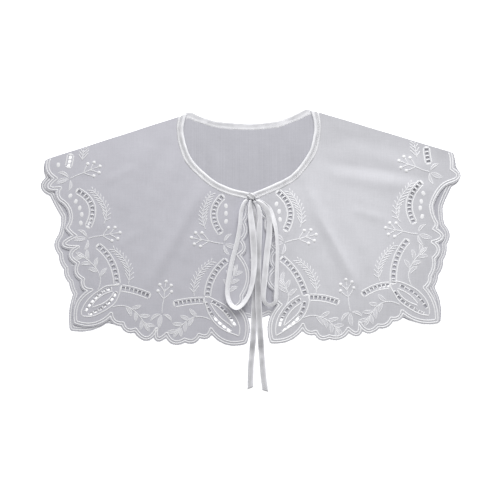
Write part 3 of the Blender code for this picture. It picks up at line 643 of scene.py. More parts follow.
def stitched(name, strokes, middle, rise, sink, material, sides=8):
    """Raised stitching: an ellipse carried along each stroke's path. Across it is width/2*cos(a). Up it is
    rise*sin(a) over the cloth's middle and sink*sin(a) under it, times the stroke's own rise. The middle
    surface is read below every point, so that wide stitches lie on a fold as the cloth does."""
    turn = np.linspace(-0.5 * np.pi, 1.5 * np.pi, sides, endpoint=False)
    plans, lifts, runs = [], [], []
    for stroke in strokes:
        across = (stroke.width / 2)[:, None, None] * np.cos(turn)[None, :, None]
        plans.append(stroke.path[:, None] + sideways(stroke.path)[:, None] * across)
        lift = np.where(np.sin(turn) > 0, rise, sink) * np.sin(turn)
        lifts.append(stroke.rise[:, None] * lift)
        runs.append(travelled(stroke.path))
    flat = np.concatenate([plan.reshape(-1, 2) for plan in plans])
    flat[:, 1] = np.minimum(flat[:, 1], shoulder_height(flat[:, 0]) - 0.1)
    height = middle(flat)
    bundles, first = [], 0
    for plan, lift, run in zip(plans, lifts, runs):
        count = lift.size
        rings = np.column_stack([flat[first:first + count], height[first:first + count] + lift.ravel()])
        bundles.append((rings.reshape(*lift.shape, 3), run))
        first += count
    return tubes(name, bundles, material)


def cord_stroke(path, width, step=1.1, blunt=0.6):
    """A stitched cord of even width that narrows quickly at both ends."""
    path = evenly(np.array(path, float), step)
    run = travelled(path)
    near = np.minimum(run, run[-1] - run) / blunt
    full = np.sqrt(np.clip(near, 0.04, 1.0))
    return Stroke(path, width * full, full)


def leaf_stroke(base, tip, width, bend=0.0, count=9, rise=1.0):
    """A satin leaf: its middle line is a parabola that bends sideways, its width goes as sin(pi*t)^0.75."""
    base, tip = np.array(base, float), np.array(tip, float)
    t = np.linspace(0, 1, count)[:, None]
    run = tip - base
    side = np.array([run[1], -run[0]])
    path = base + run * t + side * bend * 4 * t * (1 - t)
    full = np.clip(np.sin(np.pi * t[:, 0]), 0.02, 1.0) ** 0.75
    return Stroke(path, width * full, rise * np.sqrt(full))


def outlined_leaf(base, tip, width, bend=0.0, thread=1.15):
    """A leaf in outline, two satin strokes that part at its base, bow out to its width and meet at its tip,
    and the flatter filling between them."""
    base, tip = np.array(base, float), np.array(tip, float)
    length = np.linalg.norm(tip - base)
    bow = (width - thread) / 2 / length
    strokes = [leaf_stroke(base, tip, thread, bend + side * bow, count=10) for side in (-1, 1)]
    strokes = [Stroke(s.path, np.maximum(s.width, thread * 0.55), s.rise) for s in strokes]
    filling = leaf_stroke(base, tip, width * FILLING_SHARE, bend, rise=FILLING_RISE)
    return strokes + [filling._replace(soft=True)]


def dome_stroke(middle, width, length=None, turn=0.0, rise=1.0):
    """A round or oval berry: width times sqrt(1-(2t-1)^2) along a short straight line."""
    length = length or width
    t = np.linspace(0.0, 1.0, 8)
    along = np.array([np.cos(np.radians(turn)), np.sin(np.radians(turn))])
    path = np.array(middle, float) + along * (length * (t[:, None] - 0.5))
    full = np.sqrt(np.clip(1 - (2 * t - 1) ** 2, 0.004, 1.0))
    return Stroke(path, width * full, rise * full)


def headings(curve, places, span):
    """Unit directions of a curve at places along it, each from one span before the place to one after."""
    beyond = np.minimum(places + span, travelled(curve)[-1])
    return unit(at_distances(curve, beyond) - at_distances(curve, places - span))


def leaning(way, degrees):
    """A plan direction turned to the left by an angle a: (x*cos(a) - y*sin(a), x*sin(a) + y*cos(a))."""
    c, s = np.cos(np.radians(degrees)), np.sin(np.radians(degrees))
    return np.array([way[0] * c - way[1] * s, way[0] * s + way[1] * c])


def fern_strokes(row, settings, leaflet=10.6, short=0.74, lean=38.0):
    """A stem with pairs of straight leaflets that lean forward from it, shorter towards the tip and on the
    side that the stem bows out to."""
    stem = sized(settings.stem_width)
    curve = evenly(arc_through(row), 1.0)
    strokes = [cord_stroke(curve, stem)]
    places = np.linspace(0.1, 0.97, row.pairs) * travelled(curve)[-1]
    chord, bow = curve[-1] - curve[0], curve[len(curve) // 2] - curve[0]
    bow_side = np.sign(chord[0] * bow[1] - chord[1] * bow[0])
    for number, (root, way) in enumerate(zip(at_distances(curve, places), headings(curve, places, 0.8))):
        share = 1.0 - 0.35 * (number / max(1, row.pairs - 1)) ** 2
        for side in (-1, 1):
            out = leaning(way, lean * side)
            reach = leaflet * share * (short if side == bow_side else 1.0)
            strokes.append(cord_stroke([root + out * 0.4, root + out * reach], stem * 1.05, 1.3))
    return strokes


def branch_strokes(row, settings, leaf=13.8, width=5.0, lean=45.0):
    """A bent stem with leaves that stand off it to both sides by turns, and one leaf on its tip."""
    curve = evenly(arc_through(row), 1.0)
    strokes = [cord_stroke(curve, sized(settings.stem_width))]
    places = np.linspace(0.3, 0.86, row.leaves - 1) * travelled(curve)[-1]
    for number, (root, way) in enumerate(zip(at_distances(curve, places), headings(curve, places, 1.5))):
        side = 1 if number % 2 else -1
        out = leaning(way, lean * side)
        tip = root + out * leaf * (1.0 - 0.05 * (number % 3))
        strokes += outlined_leaf(root + out * 1.0, tip, width, 0.08 * side)
    end = curve[-1]
    way = curve[-1] - curve[-3]
    way /= np.linalg.norm(way)
    return strokes + outlined_leaf(end - way * leaf * 0.7, end + way * leaf * 0.3, width)


# A sprig on its own axes: its stem runs along the first, its berries and twigs fan out, its leaves hang back
SPRIG_BERRIES = [(26.0, 7.8), (33.4, 6.5), (38.0, -0.3), (34.2, -6.6), (27.0, -7.8)]
SPRIG_TWIGS = [
    [(0.0, 0.0), (9.0, 0.6), (17.6, 0.0), (25.5, 0.2), (30.0, 0.0)],
    [(17.6, 0.0), (20.2, 3.0), (24.6, 6.9)],
    [(25.5, 0.2), (29.0, 2.6), (32.0, 5.6)],
    [(30.0, 0.0), (33.0, -0.1), (36.6, -0.3)],
    [(25.5, 0.2), (29.5, -2.8), (32.8, -5.8)],
    [(17.6, 0.0), (21.0, -3.4), (25.5, -6.9)],
]
SPRIG_LEAVES = [
    ((-1.2, 0.4), (-17.0, 1.2), 5.8, 0.04),
    ((-0.4, 1.4), (-9.8, 12.2), 4.0, 0.14),
    ((-0.2, -1.4), (-7.2, -12.6), 4.0, -0.14),
]


def sprig_strokes(row, settings):
    """A sprig set down at its node and turned: each of its places is x*(cos, sin) + y*(-sin, cos)."""
    stem, berry = sized(settings.stem_width), sized(settings.berry_width)
    turn = np.radians(row.turn)
    axes = np.array([[np.cos(turn), np.sin(turn)], [-np.sin(turn), np.cos(turn)]])
    node = np.array([row.x, row.y])
    strokes = [cord_stroke(node + smooth_path(twig, 2.0) @ axes, stem) for twig in SPRIG_TWIGS]
    strokes += [dome_stroke(node + np.array(place) @ axes, berry, rise=1.35) for place in SPRIG_BERRIES]
    for base, tip, width, bend in SPRIG_LEAVES:
        strokes += outlined_leaf(node + np.array(base) @ axes, node + np.array(tip) @ axes, width, bend)
    return strokes


def dot_strokes(row, settings, width=5.2, length=7.0, rise=0.55):
    """An oval dot, a low dome that is longest across its turn."""
    return [dome_stroke(row[:2], width, length, row.turn + 90.0, rise)]


def ladder_strokes(ladders, half, cord, across):
    """The cords beside each ladder and across its ends, and a wrapped bar between neighbouring holes, which
    slants a little to one side and the other by turns."""
    strokes = []
    for row in ladders:
        curve, pitch = ladder_stations(row)
        side = sideways(curve)
        if row.cords:
            edges = [curve - side * half, curve + side * half]
            strokes += [cord_stroke(edge, cord) for edge in edges]
            for end, way in ((0, -1), (-1, 1)):
                ahead = np.array([-side[end][1], side[end][0]])
                point = curve[end] + ahead * way * half * 0.35
                strokes.append(cord_stroke([edges[0][end], point, edges[1][end]], cord))
        joints = at_distances(curve, pitch * np.arange(row.holes + 1))
        ways = at_distances(curve, pitch * np.arange(row.holes + 1) + 0.4) - joints
        ways[-1] = ways[-2]
        reach = (across if row.cords else across * CORNER_SHARE) / 2 + 0.7
        for number, (joint, way) in enumerate(zip(joints, unit(ways))):
            over = np.array([way[1], -way[0]])
            slant = way * pitch * 0.05 * (1 if number % 2 else -1)
            strokes.append(cord_stroke([joint - over * reach - slant, joint + over * reach + slant], 1.7))
    return [stroke._replace(rise=stroke.rise * LADDER_RISE) for stroke in strokes]


def subdivided(outline, step):
    """A closed outline with points added on its long straight runs."""
    runs = []
    for a, b in zip(outline, np.roll(outline, -1, axis=0)):
        count = max(1, round(np.linalg.norm(b - a) / step))
        runs.append(a + (b - a) * (np.arange(count) / count)[:, None])
    return np.concatenate(runs)


def below_fold(line):
    """The part of a line that lies clear below the folded shoulders."""
    return line[line[:, 1] < shoulder_height(line[:, 0]) - FOLD_CLEARANCE]


def cut_edge(rows, outward):
    """The cut edge of a panel: a margin outside its stitching, worn uneven, up to the shoulder."""
    return below_fold(uneven_edge(beside_stitching(rows, outward, MARGIN, EDGE_STEP), outward))


def under_binding(neck, outward):
    """The neck edge of a panel, which reaches in under its binding."""
    path = smooth_path(neck, NECK_STEP)
    return path + outward * (BINDING_WIDTH / 2 - BINDING_LAP) * sideways(path)


def front_outline(rows, outward, neck, tip, fold_neck):
    """A front's plan: shoulder tip, cut edge round to the centre front, then up under the binding."""
    under = below_fold(under_binding(neck, outward))
    along = np.array(fold_neck) - np.array(tip)
    reach = (under[0] - np.array(tip)) @ along / (along @ along)
    rims = [tip, cut_edge(rows, outward), under[::-1], np.array(tip) + reach * along]
    return subdivided(np.vstack(rims), RIM_STEP)


def back_rows():
    """The back's scallops all round: down its left side, along its regular hem and up its right side."""
    start, end = BACK_LEFT[-1], BACK_HEM_END
    t = np.arange(1, BACK_HEM_SCALLOPS + 1) / BACK_HEM_SCALLOPS
    x = start.x + (end[0] - start.x) * t
    y = start.y + (end[1] - start.y) * t + BACK_HEM_ARCH * 4 * t * (1 - t)
    return BACK_LEFT + [Scallop(a, b, BACK_HEM_BULGE) for a, b in zip(x, y)] + BACK_RIGHT


def back_outline():
    """The back's plan: down its left side, along its hem, up its right side and under the binding."""
    rims = [SHOULDER_LEFT_TIP, cut_edge(back_rows(), 1), SHOULDER_RIGHT_TIP, SHOULDER_RIGHT_NECK,
            under_binding(NECK_BACK, 1)[::-1], SHOULDER_LEFT_NECK]
    return subdivided(np.vstack(rims), RIM_STEP)


def cloth_grid(outline, holes, step):
    """A staggered grid of plan points inside an outline, clear of it and of the holes."""
    low, high = outline.min(0), outline.max(0)
    rows = np.arange(low[1], high[1], step * 0.87)
    x, y = np.meshgrid(np.arange(low[0], high[0], step), rows)
    x = x + (np.arange(len(rows)) % 2)[:, None] * step / 2
    grid = np.stack([x.ravel(), y.ravel()], 1)
    grid = grid[inside(grid, outline)]
    grid = grid[nearest_squared(grid, np.concatenate([outline] + holes)) > (step * GRID_CLEARANCE) ** 2]
    return grid[~in_a_hole(grid, holes)]


def pierced_plan(outline, holes, step):
    """The plan of a pierced cloth as triangles: the constrained Delaunay mesh of its outline, holes and grid,
    less what falls in a hole or outside. Gives its points, its triangles, which turn left, and its area."""
    rings = [outline] + holes
    plan = np.concatenate(rings + [cloth_grid(outline, holes, step)])
    edges, first = [], 0
    for ring in rings:
        count = len(ring)
        edges += [(first + k, first + (k + 1) % count) for k in range(count)]
        first += count
    result = delaunay_2d_cdt([tuple(p) for p in plan], edges, [], 1, 1e-6)
    plan = np.array([tuple(v) for v in result[0]])
    triangles = np.array(result[2])
    middles = plan[triangles].mean(1)
    triangles = triangles[inside(middles, outline) & ~in_a_hole(middles, holes)]
    a, b, c = (plan[triangles[:, k]] for k in range(3))
    area = (b[:, 0] - a[:, 0]) * (c[:, 1] - a[:, 1]) - (b[:, 1] - a[:, 1]) * (c[:, 0] - a[:, 0])
    triangles[area < 0] = triangles[area < 0][:, ::-1]
    used = np.unique(triangles)
    place = np.full(len(plan), -1)
    place[used] = np.arange(len(used))
    return plan[used], place[triangles], np.abs(area).sum() / 2


def give(piece, name, values):
    """Store a value at every point of a piece, for its material to read by this name."""
    piece.data.attributes.new(name, "FLOAT", "POINT").data.foreach_set("value", values)


def cloth_piece(name, outline, pattern, underside, settings, material):
    """A thin pierced shell: its plan at the underside's height and again one thickness up, joined at its rims.
    Its value hem is exp(-(distance/reach)^2) of the distance from the stitching line. Gives the piece and its
    flat area in square metres."""
    holes = ladder_holes(pattern.ladders, sized(settings.hole_across))
    plan, triangles, area = pierced_plan(outline, holes, sized(settings.cloth_step))
    low = underside(plan)
    high = low + sized(settings.cloth_thickness)
    points = np.concatenate([np.column_stack([plan, low]), np.column_stack([plan, high])])
    above = len(plan)
    sides = np.concatenate([triangles[:, [0, 1]], triangles[:, [1, 2]], triangles[:, [2, 0]]])
    key = sides[:, 0] * above + sides[:, 1]
    rims = sides[~np.isin(key, sides[:, 1] * above + sides[:, 0])]
    walls = np.stack([rims[:, 0], rims[:, 1], rims[:, 1] + above, rims[:, 0] + above], 1)
    faces = triangles[:, ::-1].tolist() + (triangles + above).tolist() + walls.tolist()
    piece = new_piece(name, points, faces, material)
    line = np.concatenate(stitched_line(pattern.rows, pattern.outward, FINE_STEP)[0])
    give(piece, "hem", np.tile(np.exp(-nearest_squared(plan, line) / HEM_REACH**2), 2))
    piece.data.set_sharp_from_angle(angle=np.radians(SHARP_DEGREES))
    return piece, area * MM * MM


def shoulder_roll(name, tip, neck, material, settings):
    """The soft roll of the shoulder fold: a half ring of cloth carried along the fold's straight line."""
    thick = sized(settings.cloth_thickness)
    outer = (FRONT_BASE + thick - BACK_BASE) / 2
    turn = np.linspace(0.5 * np.pi, -0.5 * np.pi, 9)
    ring = np.concatenate([np.stack([np.cos(turn), np.sin(turn)], 1) * outer,
                           np.stack([np.cos(turn), np.sin(turn)], 1)[::-1] * (outer - thick)])
    path = subdivided(np.array([tip, neck], float), 3.0)
    path = path[:len(path) // 2 + 1]
    out = sideways(path)
    out *= np.sign(out[0, 1])
    wave = 1.0 + 0.12 * np.sin(travelled(path) / 9.0)
    plan = path[:, None] + out[:, None] * (ring[:, 0] * wave[:, None])[:, :, None]
    height = np.broadcast_to(BACK_BASE + outer + ring[:, 1], plan.shape[:2])
    rings = np.concatenate([plan, height[:, :, None]], 2)
    return faced_out(tubes(name, [(rings, travelled(path))], material))


def faced_out(piece):
    """The same closed piece with its faces turned outwards where its volume comes out negative."""
    mesh = piece.data
    points = np.empty(len(mesh.vertices) * 3)
    mesh.vertices.foreach_get("co", points)
    points = points.reshape(-1, 3)
    mesh.calc_loop_triangles()
    corners = np.empty(len(mesh.loop_triangles) * 3, int)
    mesh.loop_triangles.foreach_get("vertices", corners)
    a, b, c = points[corners.reshape(-1, 3)].transpose(1, 0, 2)
    if (a * np.cross(b, c)).sum() < 0:
        mesh.flip_normals()
    return piece


def ribbon_ring(sides=20):
    """The section of a ribbon as shares of its width and half thickness: a superellipse with full corners."""
    turn = np.linspace(-0.5 * np.pi, 1.5 * np.pi, sides, endpoint=False)
    return swollen(np.cos(turn), 0.4) / 2, swollen(np.sin(turn), 0.5)


def ribbon_rings(stations, width, thick, slant=0.0):
    """Rings of a ribbon: the section turned by each station's tilt about the path, narrowed by its share, a
    little crowned, pleated where it is narrow, and cut slanting at its far end when that is asked for."""
    middle, tilt, share = stations[:, :3], np.radians(stations[:, 3] * TILT_SHARE), stations[:, 4]
    ahead = unit(np.gradient(middle, axis=0))
    side = unit(np.cross(ahead, (0.0, 0.0, 1.0)))
    up = np.cross(side, ahead)
    across = np.cos(tilt)[:, None] * side + np.sin(tilt)[:, None] * up
    out = np.cross(across, ahead)
    flat, height = ribbon_ring()
    crown = RIBBON_CROWN * (1 - (2 * flat) ** 2)
    pleat = RIBBON_PLEAT * (1 - share)[:, None] * np.cos(6 * np.pi * flat)[None]
    lift = height * thick / 2 + crown + pleat
    run = travelled(middle)
    cut = slant * np.clip(1 - (run[-1] - run) / CUT_REACH, 0, 1) ** 2
    rings = middle[:, None] + across[:, None] * (flat[None] * (share * width)[:, None])[:, :, None]
    rings = rings + out[:, None] * lift[:, :, None]
    return rings + ahead[:, None] * (flat[None] * width * cut[:, None])[:, :, None], run


# The binding's section from its neck edge to its cloth edge, as heights over what it lies on
BINDING_FRONT_SECTION = [
    (-4.2, 0.25), (-4.0, 0.8), (-3.5, 1.15), (-2.8, 1.36), (-2.0, 1.3), (-1.3, 0.95), (-0.8, 0.7),
    (0.2, 0.6), (1.3, 0.62), (1.9, 0.9), (2.5, 1.08), (3.1, 1.0), (3.7, 0.72), (4.2, 0.42),
]
BINDING_BACK_SECTION = [
    (-4.2, 0.3), (-3.9, 0.62), (-3.2, 0.82), (-2.2, 0.84), (-1.2, 0.76), (0.0, 0.7), (1.2, 0.72),
    (1.9, 0.9), (2.5, 1.02), (3.1, 0.95), (3.7, 0.75), (4.2, 0.55),
]


def binding_piece(name, neck, outward, section, base, material):
    """The neck binding: its section carried along its middle line on the height of what it lies on, with a
    slight unevenness of its roll, and cut off where the collar is folded."""
    path = evenly(smooth_path(neck, 2.0), 1.4)
    run = travelled(path)
    across = np.array([row[0] for row in section] + [3.9, 0.0, -3.9])
    height = np.array([row[1] for row in section] + [0.05, 0.0, 0.05])
    top = np.arange(len(across)) < len(section)
    uneven = 1.0 + 0.06 * np.sin(run / 5.3) * np.sin(run / 17.0 + 1.0) + 0.03 * np.sin(run / 2.1)
    plan = path[:, None] + outward * sideways(path)[:, None] * (across[None] * uneven[:, None] ** 0.5)[:, :, None]
    plan[:, :, 1] = np.minimum(plan[:, :, 1], shoulder_height(plan[:, :, 0]))
    lie = base(plan.reshape(-1, 2)).reshape(plan.shape[:2])
    z = lie + np.where(top, height * uneven[:, None], height)
    return faced_out(tubes(name, [(np.concatenate([plan, z[:, :, None]], 2), run)], material))


def dashes(neck, outward, across, pitch=2.9, share=0.72):
    """Machine stitches along a binding: short cords end to end on a line beside its middle."""
    path = evenly(smooth_path(neck, 2.0), 1.0)
    line = path + outward * sideways(path) * across
    length = travelled(line)[-1]
    starts = np.arange(2.0, length - pitch - 2.0, pitch)
    return [cord_stroke(at_distances(line, start + np.linspace(0, pitch * share, 4)), 0.55, 0.5, 0.3)
            for start in starts]


class Signal:
    """A shader socket that takes part in arithmetic: each operator adds its Math node to the same tree."""

    def __init__(self, tree, socket=None):
        self.tree = tree
        self.socket = socket

    def node(self, kind, settings, inputs, output=0):
        """Any node: its settings are set first, a ramp's stops among them, then its sockets' values or links."""
        made = self.tree.nodes.new(kind)
        for name, value in settings.items():
            if name == "stops":
                ramp = made.color_ramp.elements
                ramp.remove(ramp[-1])
                for number, (place, shade) in enumerate(value):
                    element = ramp.new(place) if number else ramp[0]
                    element.color = (shade, shade, shade, 1.0)
            else:
                setattr(made, name, value)
        for name, value in inputs.items():
            if isinstance(value, Signal):
                self.tree.links.new(value.socket, made.inputs[name])
            else:
                made.inputs[name].default_value = value
        return Signal(self.tree, made.outputs[output])

    def math(self, operation, a, b=0.0):
        """A Math node on two values."""
        return self.node("ShaderNodeMath", {"operation": operation}, {0: a, 1: b})

    def __add__(self, other):
        return self.math("ADD", self, other)

    def __sub__(self, other):
        return self.math("SUBTRACT", self, other)

    def __rsub__(self, other):
        return self.math("SUBTRACT", other, self)

    def __mul__(self, other):
        return self.math("MULTIPLY", self, other)

    __radd__ = __add__
    __rmul__ = __mul__

    def wave(self, pitch):
        """A sine of this value, once for every pitch of it."""
        return self.math("SINE", self * (2 * np.pi / pitch))

    def part(self, name):
        """The X, Y or Z of a vector."""
        split = self.node("ShaderNodeSeparateXYZ", {}, {0: self})
        return Signal(self.tree, split.socket.node.outputs[name])

    def noise(self, scale, detail=2.0):
        """Noise over this vector, each axis scaled on its own, from 0 to 1."""
        stretched = self.node("ShaderNodeVectorMath", {"operation": "MULTIPLY"}, {0: self, 1: scale})
        return self.node("ShaderNodeTexNoise", {}, {"Vector": stretched, "Scale": 1.0, "Detail": detail})

    def tint(self, dark, light):
        """A colour between two, by this value from 0 to 1."""
        inputs = {0: self, 6: (*dark, 1.0), 7: (*light, 1.0)}
        return self.node("ShaderNodeMix", {"data_type": "RGBA"}, inputs, 2)

    def bump(self, strength, distance, normal=None):
        """A normal from this value as a height."""
        inputs = {"Strength": strength, "Distance": distance, "Height": self}
        if normal:
            inputs["Normal"] = normal
        return self.node("ShaderNodeBump", {}, inputs)


def finish_material(name, roughness, sheen, build, glow=0.0):
    """A Principled material whose colour, normal and roughness come from a function of a Signal on its tree.
    The glow is the share of light that passes into a thin ribbon and comes out on its other side."""
    material = bpy.data.materials.new(name)
    material.use_nodes = True
    tree = material.node_tree
    shader = tree.nodes["Principled BSDF"]
    shader.inputs["Roughness"].default_value = roughness
    shader.inputs["Sheen Weight"].default_value = sheen
    shader.inputs["Sheen Roughness"].default_value = 0.4
    shader.inputs["Subsurface Weight"].default_value = glow
    shader.inputs["Subsurface Radius"].default_value = (1.0, 1.0, 1.0)
    shader.inputs["Subsurface Scale"].default_value = 0.002
    for socket, value in build(Signal(tree)).items():
        tree.links.new(value.socket, shader.inputs[socket])
    return material


def shaded(colour, factor):
    """A colour made lighter or darker by a factor."""
    return tuple(channel * factor for channel in colour)


def voile_material(name, colour, shoulder, hem, warp_reach=45.0, warp_share=0.26, rise=(-0.02, 0.095)):
    """Fine cotton voile: a plain weave, uneven yarns that show as faint streaks both ways, and soft mottling.
    Its tone shifts towards the shoulder over the given rise, as painted light and shade: it darkens the right
    front's top, where a fold trough lies in shade, lightens the left front's top a little, and darkens the back's
    neck opening against the lighter back that is seen through the fronts' holes. It also darkens towards the hem;
    on the back this is painted shade on its rims beside the fronts' edges. A lower reach gives longer streaks
    along the warp."""
    def build(signal):
        place = signal.node("ShaderNodeTexCoord", {}, {}, 3)
        x, y = place.part("X"), place.part("Y")
        weave = x.wave(0.0009) * y.wave(0.0009)
        warp = place.noise((900.0, warp_reach, 30.0))
        weft = place.noise((60.0, 800.0, 30.0))
        mottle = place.noise((46.0, 46.0, 46.0), 6.0)
        grain = place.noise((650.0, 650.0, 650.0))
        yarn = warp * warp_share + weft * 0.18 + mottle * 0.3 + grain * 0.26
        # Painted light and shade: this ramp shifts the tone towards the shoulder; the hem value darkens the tone
        # near the stitching line, painted shade on the back's rims
        painted_top_tone = signal.node("ShaderNodeMapRange", {"interpolation_type": "SMOOTHSTEP"},
                             {0: y, 1: rise[0], 2: rise[1], 3: 0.0, 4: shoulder})
        near_hem = signal.node("ShaderNodeAttribute", {"attribute_name": "hem"}, {}, 2)
        level = (yarn - 0.37 - warp_share / 2) * 0.71 + painted_top_tone + 0.5 - near_hem * hem
        tone = level.tint(shaded(colour, 0.72), shaded(colour, 1.28))
        height = weave * 0.25 + warp * 0.6 + weft * 0.5
        fine = height.bump(0.25, 0.00008)
        return {"Base Color": tone, "Normal": mottle.bump(0.18, 0.0016, fine),
                "Roughness": mottle * 0.1 + 0.8}
    return finish_material(name, 0.85, 0.15, build)


def thread_material(name, colour, pitch, contrast):
    """Satin stitches side by side: ridges across the run of the UV map, a little slanted and uneven, with painted
    shade that darkens the grooves between them.
    """
    def build(signal):
        run = signal.node("ShaderNodeTexCoord", {}, {}, 2)
        place = signal.node("ShaderNodeTexCoord", {}, {}, 3)
        u, v = run.part("X"), run.part("Y")
        stray = place.noise((420.0, 420.0, 420.0))
        stitch = (u + v * pitch * 1.4 + stray * pitch * 0.7).wave(pitch) * 0.5 + 0.5
        worn = place.noise((160.0, 160.0, 160.0))
        level = stitch * 0.55 + worn * 0.45
        tone = level.tint(shaded(colour, 1.0 - contrast), shaded(colour, 1.0 + contrast * 0.5))
        return {"Base Color": tone, "Normal": stitch.bump(0.35, 0.00012), "Roughness": worn * 0.15 + 0.42}
    return finish_material(name, 0.5, 0.1, build)


def tape_material(name, colour, depth, stops):
    """Satin tape: painted highlights and painted shade across its width by the ramp's stops, from its own colour
    down to a share of it, with fine ribs along its run, faint cross rows, long soft patches of painted sheen
    where the satin turns from the light, and painted light on the strands that stand tilted."""
    def build(signal):
        run = signal.node("ShaderNodeTexCoord", {}, {}, 2)
        place = signal.node("ShaderNodeTexCoord", {}, {}, 3)
        u, v = run.part("X"), run.part("Y")
        ribs = v.wave(0.017) * 0.5 + 0.5
        rows = u.wave(0.8) * 0.5 + 0.5
        soft = place.noise((150.0, 150.0, 150.0), 3.0)
        painted_sheen = run.noise((0.045, 2.2, 1.0), 1.0)
        shade = signal.node("ShaderNodeValToRGB", {"stops": stops}, {0: v})
        turned = signal.node("ShaderNodeAttribute", {"attribute_name": "turned"}, {}, 2)
        # Painted light: strands are lightened by how far they are turned, and the patches paint satin sheen
        level = shade + turned * 0.95 + (painted_sheen - 0.5) * 1.5 + (soft - 0.5) * 0.3
        level = level + ribs * 0.06 + rows * 0.04 + 0.02
        tone = signal.node("ShaderNodeClamp", {}, {0: level}).tint(shaded(colour, depth), colour)
        return {"Base Color": tone, "Normal": (ribs * 0.6 + rows * 0.4).bump(0.12, 0.00006),
                "Roughness": soft * 0.16 + 0.34}
    return finish_material(name, 0.42, 0.05, build, 0.3)


def plain_material(name, colour, glow):
    """The floor: one pale colour that gives back a little light of its own."""
    material = bpy.data.materials.new(name)
    material.use_nodes = True
    shader = material.node_tree.nodes["Principled BSDF"]
    shader.inputs["Base Color"].default_value = (*colour, 1.0)
    shader.inputs["Roughness"].default_value = 0.9
    shader.inputs["Specular IOR Level"].default_value = 0.0
    shader.inputs["Emission Color"].default_value = (1.0, 1.0, 1.0, 1.0)
    shader.inputs["Emission Strength"].default_value = glow
    return material


MATERIALS = {}


def material_of(settings, name):
    """The collar's materials, each made the first time it is asked for."""
    dull = tuple(0.4 * thread + 0.6 * cloth
                 for thread, cloth in zip(settings.thread_colour, settings.left_colour))
    makers = {
        # The fronts' colours are painted shade and painted light; their shoulder values paint light and shade
        # towards the shoulder
        "voile_left": lambda: voile_material("voile_left", settings.left_colour, 0.01, 0.08),
        "voile_right": lambda: voile_material(
            "voile_right", settings.right_colour, -0.33, 0.22, rise=(0.055, 0.125)),
        # The back: its shoulder value paints shade over the neck opening, and its hem value paints shade on its
        # rims beside the fronts
        "voile_back": lambda: voile_material(
            "voile_back", settings.back_colour, -0.29, 0.16, 9.0, 0.5, (0.0, 0.045)),
        "stitching": lambda: thread_material("stitching", settings.thread_colour, 0.45, 0.09),
        # The left front's and the back's threads are darker copies of the same thread: painted shade
        "stitching_left": lambda: thread_material(
            "stitching_left", shaded(settings.thread_colour, 0.88), 0.45, 0.09),
        "stitching_back": lambda: thread_material(
            "stitching_back", shaded(settings.thread_colour, 0.88), 0.45, 0.09),
        "leaf_filling": lambda: thread_material("leaf_filling", dull, 0.6, 0.12),
        "ribbon": lambda: tape_material("ribbon", settings.tape_colour, 0.4, RIBBON_PAINTED_SHEEN),
        "binding": lambda: tape_material("binding", settings.tape_colour, 0.56, BINDING_PAINTED_LIGHT),
        "binding_back": lambda: tape_material("binding_back", settings.tape_colour, 0.6, BINDING_BACK_PAINTED_LIGHT),
        "seam_thread": lambda: thread_material("seam_thread", settings.thread_colour, 0.3, 0.05),
    }
    if name not in MATERIALS:
        MATERIALS[name] = makers[name]()
    return MATERIALS[name]


# Painted highlight and shade by the share of the way round: a binding's from its neck edge over its top,
# lighter on its rolls and darker in its groove; a ribbon's from below, lighter at its edges and darker in its
# middle, as painted satin sheen
BINDING_PAINTED_LIGHT = [
    (0.0, 0.55), (0.06, 0.85), (0.2, 0.8), (0.31, 0.6), (0.39, 0.1), (0.49, 0.1), (0.56, 0.6),
    (0.70, 0.65), (0.78, 0.1),
]
BINDING_BACK_PAINTED_LIGHT = [
    (0.0, 0.3), (0.1, 0.25), (0.4, 0.1), (0.55, 0.1), (0.62, 0.6), (0.72, 0.6), (0.78, 0.1), (0.82, 0.0),
]
RIBBON_PAINTED_SHEEN = [
    (0.0, 0.5), (0.2, 0.7), (0.26, 1.0), (0.385, 1.0), (0.41, 0.4), (0.5, 0.15), (0.57, 0.3),
    (0.61, 0.9), (0.74, 1.0), (0.79, 0.7),
]


class COLLAR_OT_stage(Operator):
    """Make the camera straight over the collar, the soft light and the pale floor"""
    bl_idname = "collar.stage"
    bl_label = "Studio"

    def execute(self, context):
        settings = context.scene.collar
        camera = bpy.data.objects.new("camera", bpy.data.cameras.new("camera"))
        camera.data.lens = 85.0
        camera.data.sensor_width = 36.0
        camera.location = (-0.00087, -0.02614, settings.camera_height)
        context.scene.collection.objects.link(camera)
        context.scene.camera = camera

        lamp = bpy.data.lights.new("window", "AREA")
        lamp.size = 0.9
        lamp.energy = settings.key_light
        window = bpy.data.objects.new("window", lamp)
        window.location = (0.12, 1.15, 0.85)
        window.rotation_euler = (-window.location).to_track_quat("-Z", "Y").to_euler()
        context.scene.collection.objects.link(window)

        world = bpy.data.worlds.new("studio")
        world.use_nodes = True
        world.node_tree.nodes["Background"].inputs["Color"].default_value = (1.0, 1.0, 1.0, 1.0)
        world.node_tree.nodes["Background"].inputs["Strength"].default_value = settings.sky_light
        context.scene.world = world
        context.scene.view_settings.view_transform = "Standard"

        mesh = bpy.data.meshes.new("floor")
        reach = 8.0
        corners = [(-reach, -reach, -0.0002), (reach, -reach, -0.0002), (reach, reach, -0.0002),
                   (-reach, reach, -0.0002)]
        mesh.from_pydata(corners, [], [(0, 1, 2, 3)])
        mesh.materials.append(plain_material("pale_floor", settings.floor_colour, 0.62))
        floor = bpy.data.objects.new("floor", mesh)
        context.scene.collection.objects.link(floor)
        return {"FINISHED"}


TIES = {
    "loop_left": (TIE_LOOP_LEFT, "tie_loop_left", "object", 0.0),
    "loop_right": (TIE_LOOP_RIGHT, "tie_loop_right", "object", 0.0),
    "tail_left": (TIE_TAIL_LEFT, "tie_tail_left", "bare", 0.45),
    "tail_right": (TIE_TAIL_RIGHT, "tie_tail_right", "bare", -0.45),
}


